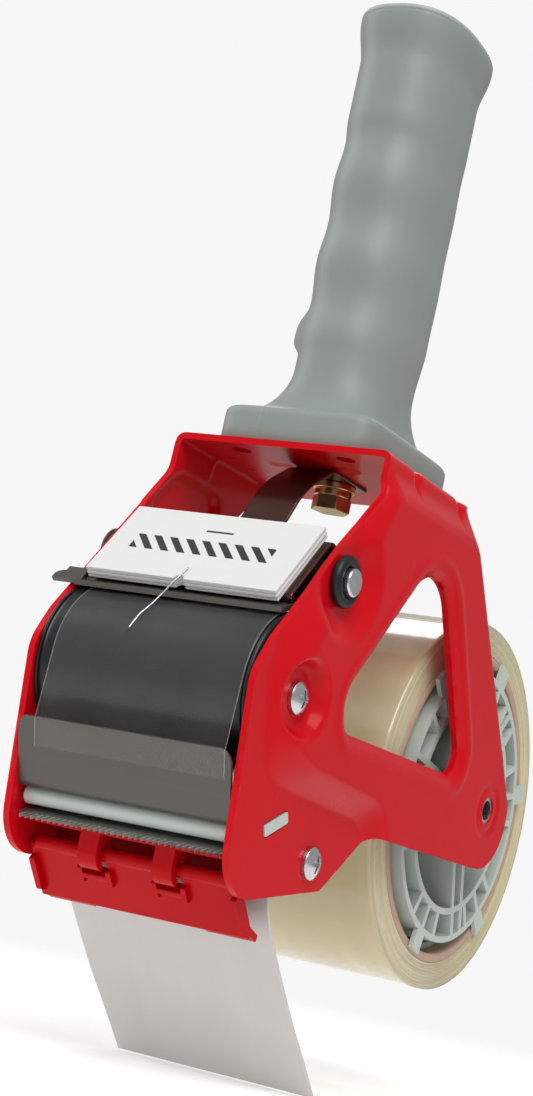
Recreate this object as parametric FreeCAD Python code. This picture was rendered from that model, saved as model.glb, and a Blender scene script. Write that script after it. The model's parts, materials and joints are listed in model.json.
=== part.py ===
"""Hand-held packing-tape dispenser: red folded-steel frame, moulded grip, tape roll on a spoked hub,
black guide roller, serrated blade with a flip guard, wiper flap, and a sprung lever with a card stack.

Axes: X runs across the tape, -Y is the front where the tape is cut, +Z is up along the grip.
The origin is the centre of the tape roll, on its axis. Millimetres."""
import FreeCAD
import Part
import math
import os

V = FreeCAD.Vector

# ---- driving dimensions -------------------------------------------------------------------------
tape_width = 48.0
core_bore = 76.2
core_wall = 2.2
roll_diameter = 94.4
side_gap = 3.2            # edge of the tape to the inner face of a plate
sheet = 1.6               # frame steel
raise_height = 3.6        # how far the long plate's panel is pressed outward
step_width = 2.6          # width of the pressed slope round that panel
bend_radius = 2.4         # outside radius of the bends along the bridge
running_fit = 0.05        # radial clearance of a turning fit
loose_fit = 0.3           # clearance between parts that only pass each other

roller_y = -107.3
roller_z = 8.6
roller_diameter = 36.0
roller_wall = 2.4
axle_diameter = 8.0
screw_diameter = 4.0
screw_head_diameter = 7.4
screw_head_height = 2.4
crossbar_y = -85.5
crossbar_z = -24.4

bridge_top = 70.0
bridge_front = -86.0
bridge_rear = -33.5

shaft_diameter = 6.5
grommet_section = 2.7
card_width = 48.8
card_depth = 24.3
card_thickness = 0.55
card_count = 5
card_angle = 49.0         # tilt of the card stack above horizontal
lever_angle = 19.6        # tilt of the lever plate above horizontal
lever_sheet = 1.2
bracket_sheet = 1.0
strap_width = 12.0
strap_thickness = 0.8

holder_angle = 25.7       # the blade slopes down to the front
holder_thickness = 2.6
blade_thickness = 0.8
tooth_pitch = 1.5
tooth_height = 1.9
rod_diameter = 4.2
guide_sheet = 0.8
flap_thickness = 0.8
hinge_bar_diameter = 3.2
guard_wall = 1.8
guard_length = 14.6

grip_width = 26.6
grip_depth = 37.4
grip_centre_y = -56.0
grip_top = 184.0
flange_width = 41.0
flange_depth = 50.0
flange_height = 9.0
bolt_diameter = 6.0
bolt_head_flats = 8.6

stud_diameter = 8.0
hub_wall = 1.6
tape_film = 0.2
film_gap = 0.18           # film to the roller it runs over
film_shift = 1.5          # the film runs nearer the long plate

# ---- sizes worked out from them -----------------------------------------------------------------
tape_half = tape_width / 2
inner_half = tape_half + side_gap
outer_half = inner_half + sheet
raised_half = outer_half + raise_height
roll_radius = roll_diameter / 2
core_inner = core_bore / 2
core_outer = core_inner + core_wall
roller_radius = roller_diameter / 2
bridge_under = bridge_top - sheet
shaft_y = roller_y + 9.3
shaft_z = roller_z + roller_radius + 9.9
shaft_radius = shaft_diameter / 2
holder_y = roller_y + 3.0
holder_z = roller_z - roller_radius - 9.0
slope = math.radians(holder_angle)
hinge_y = holder_y - 6.6
hinge_z = holder_z - 13.7

os.makedirs("parts", exist_ok=True)


# ---- helpers ------------------------------------------------------------------------------------
def save(name, shape):
    """Write one sub-part to its own STEP file."""
    if not shape.isValid() or shape.Volume <= 0:
        raise ValueError(name + " is not a valid solid")
    shape.exportStep("parts/" + name + ".step")
    print(name, len(shape.Solids), round(shape.Volume, 1))


def outline(points, x):
    """Closed wire in the plane at x. Each point is (y, z, corner radius)."""
    count = len(points)
    corners = []
    for i, (y, z, radius) in enumerate(points):
        here = V(x, y, z)
        before = V(x, points[i - 1][0], points[i - 1][1])
        after = V(x, points[(i + 1) % count][0], points[(i + 1) % count][1])
        if radius <= 0:
            corners.append((here, None, here))
            continue
        a = (before - here).normalize()
        b = (after - here).normalize()
        half = a.getAngle(b) / 2
        reach = radius / math.tan(half)
        middle = (a + b).normalize()
        centre = here + middle * (radius / math.sin(half))
        corners.append((here + a * reach, centre - middle * radius, here + b * reach))
    edges = []
    for i, (start, mid, end) in enumerate(corners):
        if mid is not None:
            edges.append(Part.Arc(start, mid, end).toShape())
        following = corners[(i + 1) % count][0]
        if (following - end).Length > 1e-6:
            edges.append(Part.makeLine(end, following))
    return Part.Wire(edges)


def prism(points, x0, x1):
    """A profile in the Y-Z plane carried from x0 to x1."""
    return Part.Face(outline(points, x0)).extrude(V(x1 - x0, 0, 0))


def tube_x(y, z, radius, x0, x1, bore=0.0):
    """Round bar or tube along X."""
    bar = Part.makeCylinder(radius, x1 - x0, V(x0, y, z), V(1, 0, 0))
    if bore > 0:
        bar = bar.cut(Part.makeCylinder(bore, x1 - x0 + 2, V(x0 - 1, y, z), V(1, 0, 0)))
    return bar


def box(x0, x1, y0, y1, z0, z1):
    return Part.makeBox(x1 - x0, y1 - y0, z1 - z0, V(x0, y0, z0))


def strip(path, thickness, x0, x1):
    """Bent sheet: a middle line of (y, z, bend radius) points given a thickness, carried along X."""
    half = thickness / 2
    left = []
    right = []
    last = len(path) - 1
    for i, (y, z, radius) in enumerate(path):
        here = V(0, y, z)
        into = V(0, 0, 0)
        out = V(0, 0, 0)
        if i > 0:
            into = (here - V(0, path[i - 1][0], path[i - 1][1])).normalize()
        if i < last:
            out = (V(0, path[i + 1][0], path[i + 1][1]) - here).normalize()
        if i == 0:
            into = out
        if i == last:
            out = into
        turn = into.y * out.z - into.z * out.y
        bisector = (into + out).normalize()
        normal = V(0, -bisector.z, bisector.y)
        reach = half / max(0.2, normal.dot(V(0, -into.z, into.y)))
        inner = 0.0
        outer = 0.0
        if radius > 0:
            inner = max(0.05, radius - half)
            outer = radius + half
        on_left = inner if turn > 0 else outer
        on_right = outer if turn > 0 else inner
        left.append((y + normal.y * reach, z + normal.z * reach, on_left))
        right.append((y - normal.y * reach, z - normal.z * reach, on_right))
    return prism(left + right[::-1], x0, x1)


def local(s, t):
    """Point in the blade holder's own frame: s runs forward down its slope, t stands up from it."""
    y = holder_y - s * math.cos(slope) - t * math.sin(slope)
    z = holder_z - s * math.sin(slope) + t * math.cos(slope)
    return (y, z)


def corner(s, t, radius=0.0):
    return local(s, t) + (radius,)


def both_sides(shape):
    """The shape and its mirror image across the middle plane, as separate solids."""
    return Part.makeCompound([shape, shape.mirror(V(0, 0, 0), V(1, 0, 0))])


def pan_screw(y, z, x, length, direction):
    """Cross-recess pan-head screw whose head stands on a plate face at x."""
    radius = screw_head_diameter / 2
    head = Part.makeCylinder(radius, screw_head_height, V(x, y, z), V(direction, 0, 0))
    crown = Part.makeSphere(radius * 1.55, V(x + direction * (screw_head_height - radius * 1.55), y, z))
    head = head.common(crown)
    shank = Part.makeCylinder(screw_diameter / 2, length, V(x - direction * length, y, z),
            V(direction, 0, 0))
    screw = head.fuse(shank)
    outer_face = x + direction * screw_head_height
    for wide, tall in ((0.8, 4.0), (4.0, 0.8)):
        low = min(outer_face, outer_face - direction * 1.3)
        slot = box(low, low + 1.3, y - wide / 2, y + wide / 2, z - tall / 2, z + tall / 2)
        screw = screw.cut(slot)
    return screw


# ---- frame: two plates and a bridge folded from one steel sheet ----------------------------------
lobe_radius = 14.0
stud_hole = 7.0
long_outline = [
    (bridge_front, bridge_top, 0.0),
    (-86.3, 60.5, 6.0),
    (-92.3, 53.4, 8.0),
    (-121.6, 18.6, 10.0),
    (-126.4, 10.3, 9.0),
    (-120.3, -37.0, 11.0),
    (-77.6, -29.8, 4.0),
    (-59.5, -15.0, 6.0),
    (29.0, -15.0, lobe_radius),
    (bridge_rear - 8.0, bridge_top, 0.0),
]
short_outline = [
    (bridge_front, bridge_top, 0.0),
    (-86.3, 60.5, 6.0),
    (-92.3, 53.4, 8.0),
    (-121.6, 18.6, 10.0),
    (-126.4, 10.3, 9.0),
    (-120.3, -37.0, 11.0),
    (-77.6, -29.8, 6.0),
    (-76.0, 34.0, 22.0),
    (-44.0, 66.0, 7.0),
    (bridge_rear - 8.0, bridge_top, 0.0),
]
panel_inner = [
    (-85.5, 59.5, 3.0),
    (-95.0, 47.5, 6.0),
    (-113.5, 23.0, 9.0),
    (-118.0, 12.0, 8.0),
    (-112.0, -6.0, 11.0),
    (-62.0, -8.0, 9.0),
    (-52.0, -22.0, 2.0),
    (33.0, -22.0, 2.0),
    (7.0, 9.5, 3.0),
    (-36.6, 59.5, 6.0),
]
panel_outer = [
    (-84.0, 66.5, 3.0),
    (-97.8, 48.8, 6.0),
    (-116.6, 24.0, 9.0),
    (-121.4, 12.0, 8.0),
    (-114.0, -9.6, 11.0),
    (-63.6, -11.0, 9.0),
    (-54.0, -25.0, 2.0),
    (45.0, -25.0, 2.0),
    (11.5, 11.5, 3.0),
    (-36.0, 67.5, 6.0),
]
window = [
    (-96.5, 5.0, 6.5),
    (-56.5, 52.5, 12.5),
    (-45.5, 44.0, 9.0),
    (-17.8, 5.0, 5.0),
]
window_rim = [
    (-102.0, 1.9, 9.5),
    (-56.3, 57.0, 15.5),
    (-42.5, 45.5, 11.5),
    (-12.4, 1.9, 8.0),
]
short_panel_inner = [
    (-84.0, 58.5, 3.0),
    (-90.5, 50.0, 4.0),
    (-81.0, 39.5, 4.0),
    (-59.5, 58.5, 3.0),
]
short_panel_outer = [
    (-82.8, 61.3, 5.0),
    (-94.3, 50.2, 5.0),
    (-81.2, 35.6, 5.0),
    (-53.0, 61.3, 5.0),
]
short_raise_height = 1.8
slot_half_length = 5.1
slot_half_height = 1.7
gusset_places = (-70.0, -44.0)
rivet_hole_y = -79.6
dimple_y = -69.0


def pressed(inner, outer, low, high):
    """Sloping block between an outline at the sheet's level and one at the raised level."""
    return Part.makeLoft([outline(outer, low), outline(inner, high)], True, True)


def mirrored(shape):
    return shape.mirror(V(0, 0, 0), V(1, 0, 0))


def side_plate(edge, inner, outer, height):
    """Plate on the +X side: flat sheet with one panel pressed outward, sheet thickness throughout."""
    flat = prism(edge, inner_half, outer_half)
    raised = pressed(inner, outer, outer_half, outer_half + height)
    hollow = pressed(inner, outer, inner_half, inner_half + height)
    blank = prism(edge, inner_half - 1, outer_half + height + 1)
    return flat.fuse(raised).cut(hollow).common(blank)


def recess(y, z, floor_radius, top_radius):
    """Sheet dished back from the raised panel to the flat level round a fastener."""
    wall = Part.makeCone(floor_radius, top_radius, raise_height, V(outer_half, y, z), V(1, 0, 0))
    back = Part.makeCone(floor_radius + 0.6, top_radius + 0.6, raise_height, V(inner_half, y, z),
            V(1, 0, 0))
    return wall, back


def make_frame():
    long_plate = side_plate(long_outline, panel_inner, panel_outer, raise_height)
    for y, z, floor_radius in ((roller_y, roller_z, 6.6), (shaft_y, shaft_z, 6.4)):
        wall, back = recess(y, z, floor_radius, floor_radius + step_width)
        dish = back.common(prism(long_outline, inner_half - 1, raised_half + 1))
        long_plate = long_plate.fuse(dish).cut(wall)
    # the window's rim is pressed inward, then the window is cut through it
    rim_depth = 1.6
    rim_cut = Part.makeLoft([outline(window, raised_half - rim_depth), outline(window_rim, raised_half)],
            True, True)
    rim_back = Part.makeLoft(
        [outline(window, raised_half - rim_depth - sheet), outline(window_rim, raised_half - sheet)],
                True, True)
    long_plate = long_plate.fuse(rim_back).cut(rim_cut)
    long_plate = long_plate.cut(prism(window, inner_half - 1, raised_half + 1))
    # pressed ring round the stud hole
    long_plate = long_plate.cut(tube_x(0, 0, 6.4, raised_half - 0.5, raised_half + 1, 5.2))
    long_plate = long_plate.cut(tube_x(0, 0, stud_hole / 2, inner_half - 1, raised_half + 1))

    short_plate = mirrored(side_plate(short_outline, short_panel_inner, short_panel_outer,
            short_raise_height))

    bend = bend_radius
    section = [
        (-outer_half, bridge_top - 12, 0.0), (-outer_half, bridge_top, bend),
                (outer_half, bridge_top, bend),
        (outer_half, bridge_top - 12, 0.0), (inner_half, bridge_top - 12, 0.0),
        (inner_half, bridge_under, bend - sheet), (-inner_half, bridge_under, bend - sheet),
        (-inner_half, bridge_top - 12, 0.0)]
    wire = outline(section, 0.0)
    # the section above is written as (x, z); turn it so that it stands across the frame
    bridge = Part.Face(wire).extrude(V(bridge_rear - bridge_front, 0, 0))
    bridge.rotate(V(0, 0, 0), V(0, 0, 1), 90)
    bridge.translate(V(0, bridge_front, 0))
    top = bridge_top - bend
    keep = box(-outer_half - 9, outer_half + 9, -200, 200, -200, top)
    bridge = bridge.cut(keep)
    frame = long_plate.common(keep).fuse(short_plate.common(keep)).fuse(bridge)

    # holes, slots and pressed details
    inside = (outer_half + 10)
    for y, z, size in ((roller_y, roller_z, screw_diameter), (crossbar_y, crossbar_z, screw_diameter),
                       (shaft_y, shaft_z, shaft_diameter)):
        frame = frame.cut(tube_x(y, z, size / 2 + running_fit, -inside, inside))
    slot_wire = [corner(-slot_half_length, -slot_half_height, 0.8),
            corner(slot_half_length, -slot_half_height, 0.8),
                 corner(slot_half_length, slot_half_height, 0.8),
                         corner(-slot_half_length, slot_half_height, 0.8)]
    frame = frame.cut(prism(slot_wire, -inside, inside))
    frame = frame.cut(Part.makeCylinder(bolt_diameter / 2 + running_fit, 10,
            V(0, grip_centre_y, bridge_under - 2)))
    for side in (-1, 1):
        frame = frame.cut(Part.makeCylinder(2.4, 6, V(side * 14.0, rivet_hole_y, bridge_under - 2)))
        dimple = Part.makeCylinder(2.1, 0.7, V(side * 6.9, dimple_y, bridge_under))
        dimple = dimple.fuse(Part.makeCylinder(2.1, 0.7, V(side * 10.1, dimple_y, bridge_under)))
        dimple = dimple.fuse(box(side * 8.5 - 1.6, side * 8.5 + 1.6, dimple_y - 2.1, dimple_y + 2.1,
                                 bridge_under, bridge_under + 0.7))
        frame = frame.cut(dimple)
        for y in gusset_places:
            dart = Part.makeCone(0.0, 1.5, 5.0, V(side * (outer_half - 3.4), y, bridge_top - 3.4),
                    V(side, 0, 1))
            frame = frame.cut(dart)
    return frame.removeSplitter()


save("frame", make_frame())

# ---- grip ---------------------------------------------------------------------------------------
grip_half_width = grip_width / 2
grip_half_depth = grip_depth / 2
groove_pitch = 21.0
groove_depth = 1.4
first_ridge = 99.3
last_groove = 160.0


def grip_ring(z, half_x, half_y, centre_y, squareness=2.4):
    """Smooth closed curve: a rounded rectangle between an ellipse and a box."""
    points = []
    steps = 28
    for i in range(steps):
        angle = 2 * math.pi * i / steps
        c = math.cos(angle)
        s = math.sin(angle)
        x = half_x * math.copysign(abs(c) ** (2 / squareness), c)
        y = half_y * math.copysign(abs(s) ** (2 / squareness), s)
        points.append(V(x, centre_y + y, z))
    curve = Part.BSplineCurve()
    curve.interpolate(Points=points, PeriodicFlag=True)
    return Part.Wire([curve.toShape()])


def make_grip():
    """Square-cornered flange, a concave neck, four finger grooves on the front and a flared end."""
    base = bridge_top + 0.02
    flange_top = base + flange_height
    neck = flange_top + 12.0
    flange_y = (bridge_front + bridge_rear) / 2 + 0.6
    block = box(-flange_width / 2, flange_width / 2, flange_y - flange_depth / 2,
            flange_y + flange_depth / 2,
                base, flange_top)
    uprights = [e for e in block.Edges if abs(e.tangentAt(0).z) > 0.9]
    block = block.makeFillet(6.0, uprights)
    rim = [e for e in block.Edges if e.BoundBox.ZMin > flange_top - 0.01]
    block = block.makeFillet(2.2, rim)
    rings = [grip_ring(flange_top - 3.0, grip_half_width + 4.6, grip_half_depth + 3.4,
            grip_centre_y - 1.6, 3.4)]
    flare = 6
    for i in range(flare + 1):
        share = i / flare
        spread = (1 - share) ** 2
        rings.append(grip_ring(flange_top + (neck - flange_top) * share,
                grip_half_width - 0.5 + 4.6 * spread,
                               grip_half_depth - 0.9 + 3.8 * spread, grip_centre_y - 1.0 - 0.6 * spread,
                               2.4 + spread))
    flare_start = grip_top - 14.0
    count = 16
    for i in range(1, count + 1):
        z = neck + (flare_start - neck) * i / count
        wave = 0.5 - 0.5 * math.cos(2 * math.pi * (z - first_ridge) / groove_pitch)
        fade = min(1.0, max(0.0, (last_groove - z) / 8.0)) * min(1.0, (z - neck) / 8.0)
        cut = groove_depth * (wave - 0.5) * fade
        rings.append(grip_ring(z, grip_half_width, grip_half_depth - cut / 2, grip_centre_y + cut / 2))
    rings.append(grip_ring(grip_top - 9, grip_half_width + 0.5, grip_half_depth + 0.7, grip_centre_y))
    rings.append(grip_ring(grip_top - 5, grip_half_width + 1.4, grip_half_depth + 1.6, grip_centre_y))
    rings.append(grip_ring(grip_top, grip_half_width + 1.7, grip_half_depth + 2.0, grip_centre_y))
    body = Part.makeLoft(rings, True, True).fuse(block)
    bore = Part.makeCylinder(bolt_diameter / 2 + running_fit, 26.0, V(0, grip_centre_y, bridge_top - 1))
    return body.cut(bore)


save("grip", make_grip())


def make_grip_cap():
    """Lighter lid with a raised rim, closing the end of the grip."""
    ring = grip_ring(grip_top + 0.02, grip_half_width + 1.7, grip_half_depth + 2.0, grip_centre_y)
    lid = Part.Face(ring).extrude(V(0, 0, 1.6))
    return lid


save("grip_cap", make_grip_cap())

# ---- bolt, washers and leaf strap under the bridge ------------------------------------------------
strap_under = bridge_under - strap_thickness - 0.02
washer_height = 1.6
spring_washer_height = 1.7
bolt_seat = strap_under - washer_height - spring_washer_height - 0.04


def hexagon_prism(flats, z0, z1, x, y):
    corner_radius = flats / math.sqrt(3)
    points = []
    for i in range(7):
        angle = math.radians(60 * i + 12)
        points.append(V(x + corner_radius * math.cos(angle), y + corner_radius * math.sin(angle), z0))
    return Part.Face(Part.makePolygon(points)).extrude(V(0, 0, z1 - z0))


def make_grip_bolt():
    head = hexagon_prism(bolt_head_flats, bolt_seat - 3.4, bolt_seat, 0, grip_centre_y)
    crown = Part.makeSphere(9.0, V(0, grip_centre_y, bolt_seat + 3.6))
    head = head.common(crown)
    shank = Part.makeCylinder(bolt_diameter / 2, 27.0, V(0, grip_centre_y, bolt_seat - 0.5))
    return head.fuse(shank)


def ring_z(outer, inner, z0, z1, y):
    blank = Part.makeCylinder(outer, z1 - z0, V(0, y, z0))
    return blank.cut(Part.makeCylinder(inner, z1 - z0 + 2, V(0, y, z0 - 1)))


hole_radius = bolt_diameter / 2 + running_fit
save("grip_bolt", make_grip_bolt())
save("flat_washer", ring_z(5.2, hole_radius, strap_under - washer_height, strap_under - 0.01,
        grip_centre_y))
split = ring_z(4.7, hole_radius, bolt_seat + 0.01, bolt_seat + spring_washer_height, grip_centre_y)
split = split.cut(box(0, 8, grip_centre_y - 0.5, grip_centre_y + 0.5, bolt_seat - 1, bolt_seat + 4))
save("spring_washer", split)


def make_strap():
    middle = bridge_under - 0.01 - strap_thickness / 2
    path = [(grip_centre_y + 5.6, middle, 0.0), (-68.5, middle, 6.0), (-80.6, 60.5, 24.0),
            (-87.0, 50.2, 14.0), (shaft_y + 5.4, shaft_z + 8.4, 0.0)]
    leaf = strip(path, strap_thickness, -strap_width / 2, strap_width / 2)
    return leaf.cut(Part.makeCylinder(hole_radius, 12, V(0, grip_centre_y, bridge_under - 6)))


save("leaf_strap", make_strap())

# ---- cross pieces between the plates --------------------------------------------------------------
tapped = screw_diameter / 2 + running_fit
save("roller_axle", tube_x(roller_y, roller_z, axle_diameter / 2, -inner_half, inner_half, tapped))
save("crossbar", tube_x(crossbar_y, crossbar_z, axle_diameter / 2, -inner_half, inner_half, tapped))
screw_length = sheet + 9.0
screws = []
for place in ((roller_y, roller_z), (crossbar_y, crossbar_z)):
    screws.append(pan_screw(place[0], place[1], outer_half, screw_length, 1))
    screws.append(pan_screw(place[0], place[1], -outer_half, screw_length, -1))
save("plate_screws", Part.makeCompound(screws))

pin_end = outer_half + grommet_section + 1.2
shaft = tube_x(shaft_y, shaft_z, shaft_radius, -pin_end, pin_end)
save("lever_shaft", shaft.makeChamfer(0.4, [shaft.Edges[0], shaft.Edges[2]]))
grommet_ring = shaft_radius + grommet_section / 2
ring = Part.makeTorus(grommet_ring, grommet_section / 2,
        V(outer_half + grommet_section / 2, shaft_y, shaft_z),
                      V(1, 0, 0))
ring = ring.cut(tube_x(shaft_y, shaft_z, shaft_radius + 0.01, 0, pin_end + 5))
save("shaft_grommets", both_sides(ring))

# ---- guide roller -------------------------------------------------------------------------------
roller_half = inner_half - 0.35
groove_at = tape_half + 0.7


def make_roller():
    """Hollow drum with a raised rim and a groove at each end, and an end disc on the axle."""
    bore = axle_diameter / 2 + running_fit
    profile = [(bore, -roller_half), (roller_radius + 0.3, -roller_half),
               (roller_radius + 0.3, -groove_at - 0.8), (roller_radius - 0.9, -groove_at - 0.8),
               (roller_radius - 0.9, -groove_at), (roller_radius, -groove_at),
               (roller_radius, groove_at), (roller_radius - 0.9, groove_at),
               (roller_radius - 0.9, groove_at + 0.8), (roller_radius + 0.3, groove_at + 0.8),
               (roller_radius + 0.3, roller_half), (bore, roller_half)]
    points = [V(x, roller_y, roller_z + radius) for radius, x in profile]
    face = Part.Face(Part.makePolygon(points + points[:1]))
    drum = face.revolve(V(0, roller_y, roller_z), V(1, 0, 0), 360)
    inside = roller_radius - roller_wall
    for side in (-1, 1):
        x0 = min(side * 3.0, side * (roller_half - 3.0))
        x1 = max(side * 3.0, side * (roller_half - 3.0))
        drum = drum.cut(tube_x(roller_y, roller_z, inside, x0, x1, axle_diameter / 2 + 2.2))
    return drum


save("guide_roller", make_roller())

# ---- blade group: holder, rod, guide plate, blade, guard carrier ------------------------------------
holder_half = holder_thickness / 2
plate_clear = inner_half - 0.3
blade_reach = 17.8
blade_top = -holder_half - 0.01
blade_under = blade_top - blade_thickness
rod_radius = rod_diameter / 2
rod_s = 12.6
rod_gap = 0.75             # rod to the blade under it
rod_t = blade_top + rod_radius + rod_gap


def make_holder():
    """Grey moulded bar whose end tabs stand in the slots of the two plates."""
    bar = prism([corner(-6.0, -holder_half, 0.6), corner(8.6, -holder_half, 0.6),
            corner(8.6, holder_half, 0.6),
                 corner(-6.0, holder_half, 0.6)], -plate_clear, plate_clear)
    tab_s = slot_half_length - 0.1
    tab_t = holder_half
    tabs = prism([corner(-tab_s, -tab_t, 0.5), corner(tab_s, -tab_t, 0.5), corner(tab_s, tab_t, 0.5),
                  corner(-tab_s, tab_t, 0.5)], -outer_half - 0.2, outer_half + 0.2)
    return bar.fuse(tabs)


def make_blade():
    """Thin steel strip with a saw-toothed front edge."""
    half = plate_clear - 0.1
    strip_body = prism([corner(-4.0, blade_under), corner(blade_reach, blade_under),
            corner(blade_reach, blade_top),
                        corner(-4.0, blade_top)], -half, half)
    count = int(2 * half / tooth_pitch)
    start = -count * tooth_pitch / 2
    root = blade_reach - tooth_height
    points = [V(-half - 1, 0, root), V(start, 0, root)]
    for i in range(count):
        left = start + i * tooth_pitch
        points.append(V(left + tooth_pitch * 0.5, 0, blade_reach))
        points.append(V(left + tooth_pitch, 0, root))
    points.append(V(half + 1, 0, root))
    points.append(V(half + 1, 0, blade_reach + 3))
    points.append(V(-half - 1, 0, blade_reach + 3))
    gaps = []
    for p in points:
        y, z = local(p.z, blade_under - 1)
        gaps.append(V(p.x, y, z))
    rise = V(0, -math.sin(slope), math.cos(slope)) * (blade_thickness + 2)
    return strip_body.cut(Part.Face(Part.makePolygon(gaps + gaps[:1])).extrude(rise))


guide_top = (roller_y - roller_radius - 0.7, roller_z - 14.8)


def make_guide_plate():
    """Thin steel sheet in front of the roller, folded back over the rod onto the holder."""
    seat = holder_half + 0.01 + guide_sheet / 2
    over = rod_t + rod_radius + 0.35 + guide_sheet / 2
    back = local(-5.0, seat)
    dip = local(7.4, seat)
    lift = local(9.2, over)
    front = local(15.4, over)
    top = guide_top
    path = [back + (0.0,), dip + (0.7,), lift + (0.9,), front + (1.6,), top + (0.0,)]
    body = strip(path, guide_sheet, -plate_clear, plate_clear)
    for side in (-1, 1):
        edge = side * plate_clear
        radius = 3.0
        blank = box(min(edge, edge - side * radius), max(edge, edge - side * radius),
                    top[0] - 4, top[0] + 4, top[1] - radius + 0.1, top[1] + 2)
        corner_round = Part.makeCylinder(radius, 8, V(edge - side * radius, top[0] - 4,
                top[1] - radius + 0.1),
                                         V(0, 1, 0))
        body = body.cut(blank.cut(corner_round))
    return body


carrier_top = blade_under - 0.01
carrier_thickness = 2.4
hook_inner = hinge_bar_diameter / 2 + loose_fit
hook_outer = hook_inner + 1.7
hook_centres = (-9.6, 9.6)
hook_half_width = 2.5
flap_top_y = holder_y + 7.4
flap_top_z = holder_z - 5.0


def make_carrier():
    """Red moulding clamped under the blade, with two open hooks for the guard's bar."""
    half = plate_clear - 0.2
    low = carrier_top - carrier_thickness
    plate = prism([corner(-4.0, low), corner(13.0, low), corner(13.0, carrier_top),
            corner(-4.0, carrier_top)],
                  -half, half)
    lip_y, lip_z = local(13.0, carrier_top)
    lip = prism([(lip_y, lip_z, 0.0), (lip_y + 0.4, hinge_z + 4.1, 0.0), (lip_y + 3.0, hinge_z + 4.1, 0.0),
                 (lip_y + 4.4, lip_z - 0.4, 0.0)], -half, half)
    wall = prism([(flap_top_y - 0.5, flap_top_z + 0.5, 0.0), (flap_top_y - 0.5, flap_top_z - 9.0, 0.0),
                  (flap_top_y - 3.0, flap_top_z - 9.0, 0.0), (flap_top_y - 3.0, flap_top_z + 1.8, 0.0)],
                          -half, half)
    back = prism([corner(-4.0, low), corner(-4.0, carrier_top), (flap_top_y - 0.5, flap_top_z + 0.5, 0.0),
                  (flap_top_y - 3.0, flap_top_z - 1.0, 0.0)], -half, half)
    body = plate.fuse([lip, wall, back])
    for x in hook_centres:
        x0 = x - hook_half_width
        x1 = x + hook_half_width
        hook = tube_x(hinge_y, hinge_z, hook_outer, x0, x1)
        stem = prism([(hinge_y - hook_outer, hinge_z, 0.0), (lip_y + 0.2, lip_z - 1.0, 0.0),
                      (lip_y + 3.2, hinge_z + 4.4, 0.0), (hinge_y, hinge_z + hook_inner, 0.0)], x0, x1)
        hook = hook.fuse(stem)
        mouth = prism([(hinge_y, hinge_z, 0.0), (hinge_y + 12, hinge_z + 5.0, 0.0),
                       (hinge_y + 12, hinge_z - 14.0, 0.0), (hinge_y, hinge_z - 12.0, 0.0)], x0 - 1, x1 + 1)
        hook = hook.cut(mouth)
        body = body.fuse(hook)
    return body.cut(tube_x(hinge_y, hinge_z, hook_inner, -half - 1, half + 1))


guard_half = plate_clear - 0.3
guard_angle = math.radians(-47.0)


def guard_point(distance, lift):
    """Point in the guard's own frame, from the hinge bar along the guard and up from its face."""
    y = hinge_y + distance * math.cos(guard_angle) - lift * math.sin(guard_angle)
    z = hinge_z + distance * math.sin(guard_angle) + lift * math.cos(guard_angle)
    return (y, z)


def make_guard():
    """Flip guard: a plate hanging from the hinge bar, with two finger lips and two clip pockets."""
    bar = tube_x(hinge_y, hinge_z, hinge_bar_diameter / 2, -guard_half + 2, guard_half - 2)
    thick = guard_wall / 2
    plate = prism([guard_point(0, -thick) + (0.0,), guard_point(guard_length, -thick) + (0.6,),
                   guard_point(guard_length, thick) + (0.6,), guard_point(0, thick) + (0.0,)],
                  -guard_half, guard_half)
    body = bar.fuse(plate)
    for side in (-1, 1):
        x0 = min(side * 14.6, side * guard_half)
        x1 = max(side * 14.6, side * guard_half)
        tip = guard_point(guard_length + 2.6, 1.6)
        lip = prism([guard_point(guard_length - 2.2, -thick) + (0.0,), (tip[0], tip[1], 0.5),
                     guard_point(guard_length + 1.6, 2.9) + (0.5,),
                             guard_point(guard_length - 2.2, thick) + (0.0,)],
                    x0, x1)
        body = body.fuse(lip)
        cheek = prism([guard_point(3.0, -thick - 1.6) + (0.6,),
                guard_point(guard_length - 3, -thick - 1.6) + (0.6,),
                       guard_point(guard_length - 0.8, thick) + (0.0,), guard_point(3.0, thick) + (0.0,)],
                      min(side * (guard_half - 1.4), side * guard_half),
                      max(side * (guard_half - 1.4), side * guard_half))
        body = body.fuse(cheek)
    notch_half = hook_half_width + 0.6
    notch_length = hook_outer + 0.6
    for x in hook_centres:
        notch = prism([guard_point(-4.0, -6.0) + (0.0,), guard_point(notch_length, -6.0) + (0.0,),
                       guard_point(notch_length, 6.0) + (0.0,), guard_point(-4.0, 6.0) + (0.0,)],
                      x - notch_half, x + notch_half)
        notch = notch.cut(tube_x(hinge_y, hinge_z, hinge_bar_diameter / 2, -40, 40))
        body = body.cut(notch)
        ridge_x = notch_half + 1.2
        for x0 in (x - ridge_x, x + notch_half):
            body = body.fuse(prism([guard_point(3.0, -thick - 1.3) + (0.4,),
                                    guard_point(notch_length + 2.6, -thick - 1.3) + (0.4,),
                                    guard_point(notch_length + 3.4, thick) + (0.0,),
                                    guard_point(3.0, thick) + (0.0,)], x0, x0 + 1.2))
        body = body.fuse(prism([guard_point(notch_length + 0.2, -thick - 1.3) + (0.4,),
                                guard_point(notch_length + 1.6, -thick - 1.3) + (0.4,),
                                guard_point(notch_length + 1.6, thick) + (0.0,),
                                guard_point(notch_length + 0.2, thick) + (0.0,)], x - ridge_x, x + ridge_x))
    return body


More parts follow.
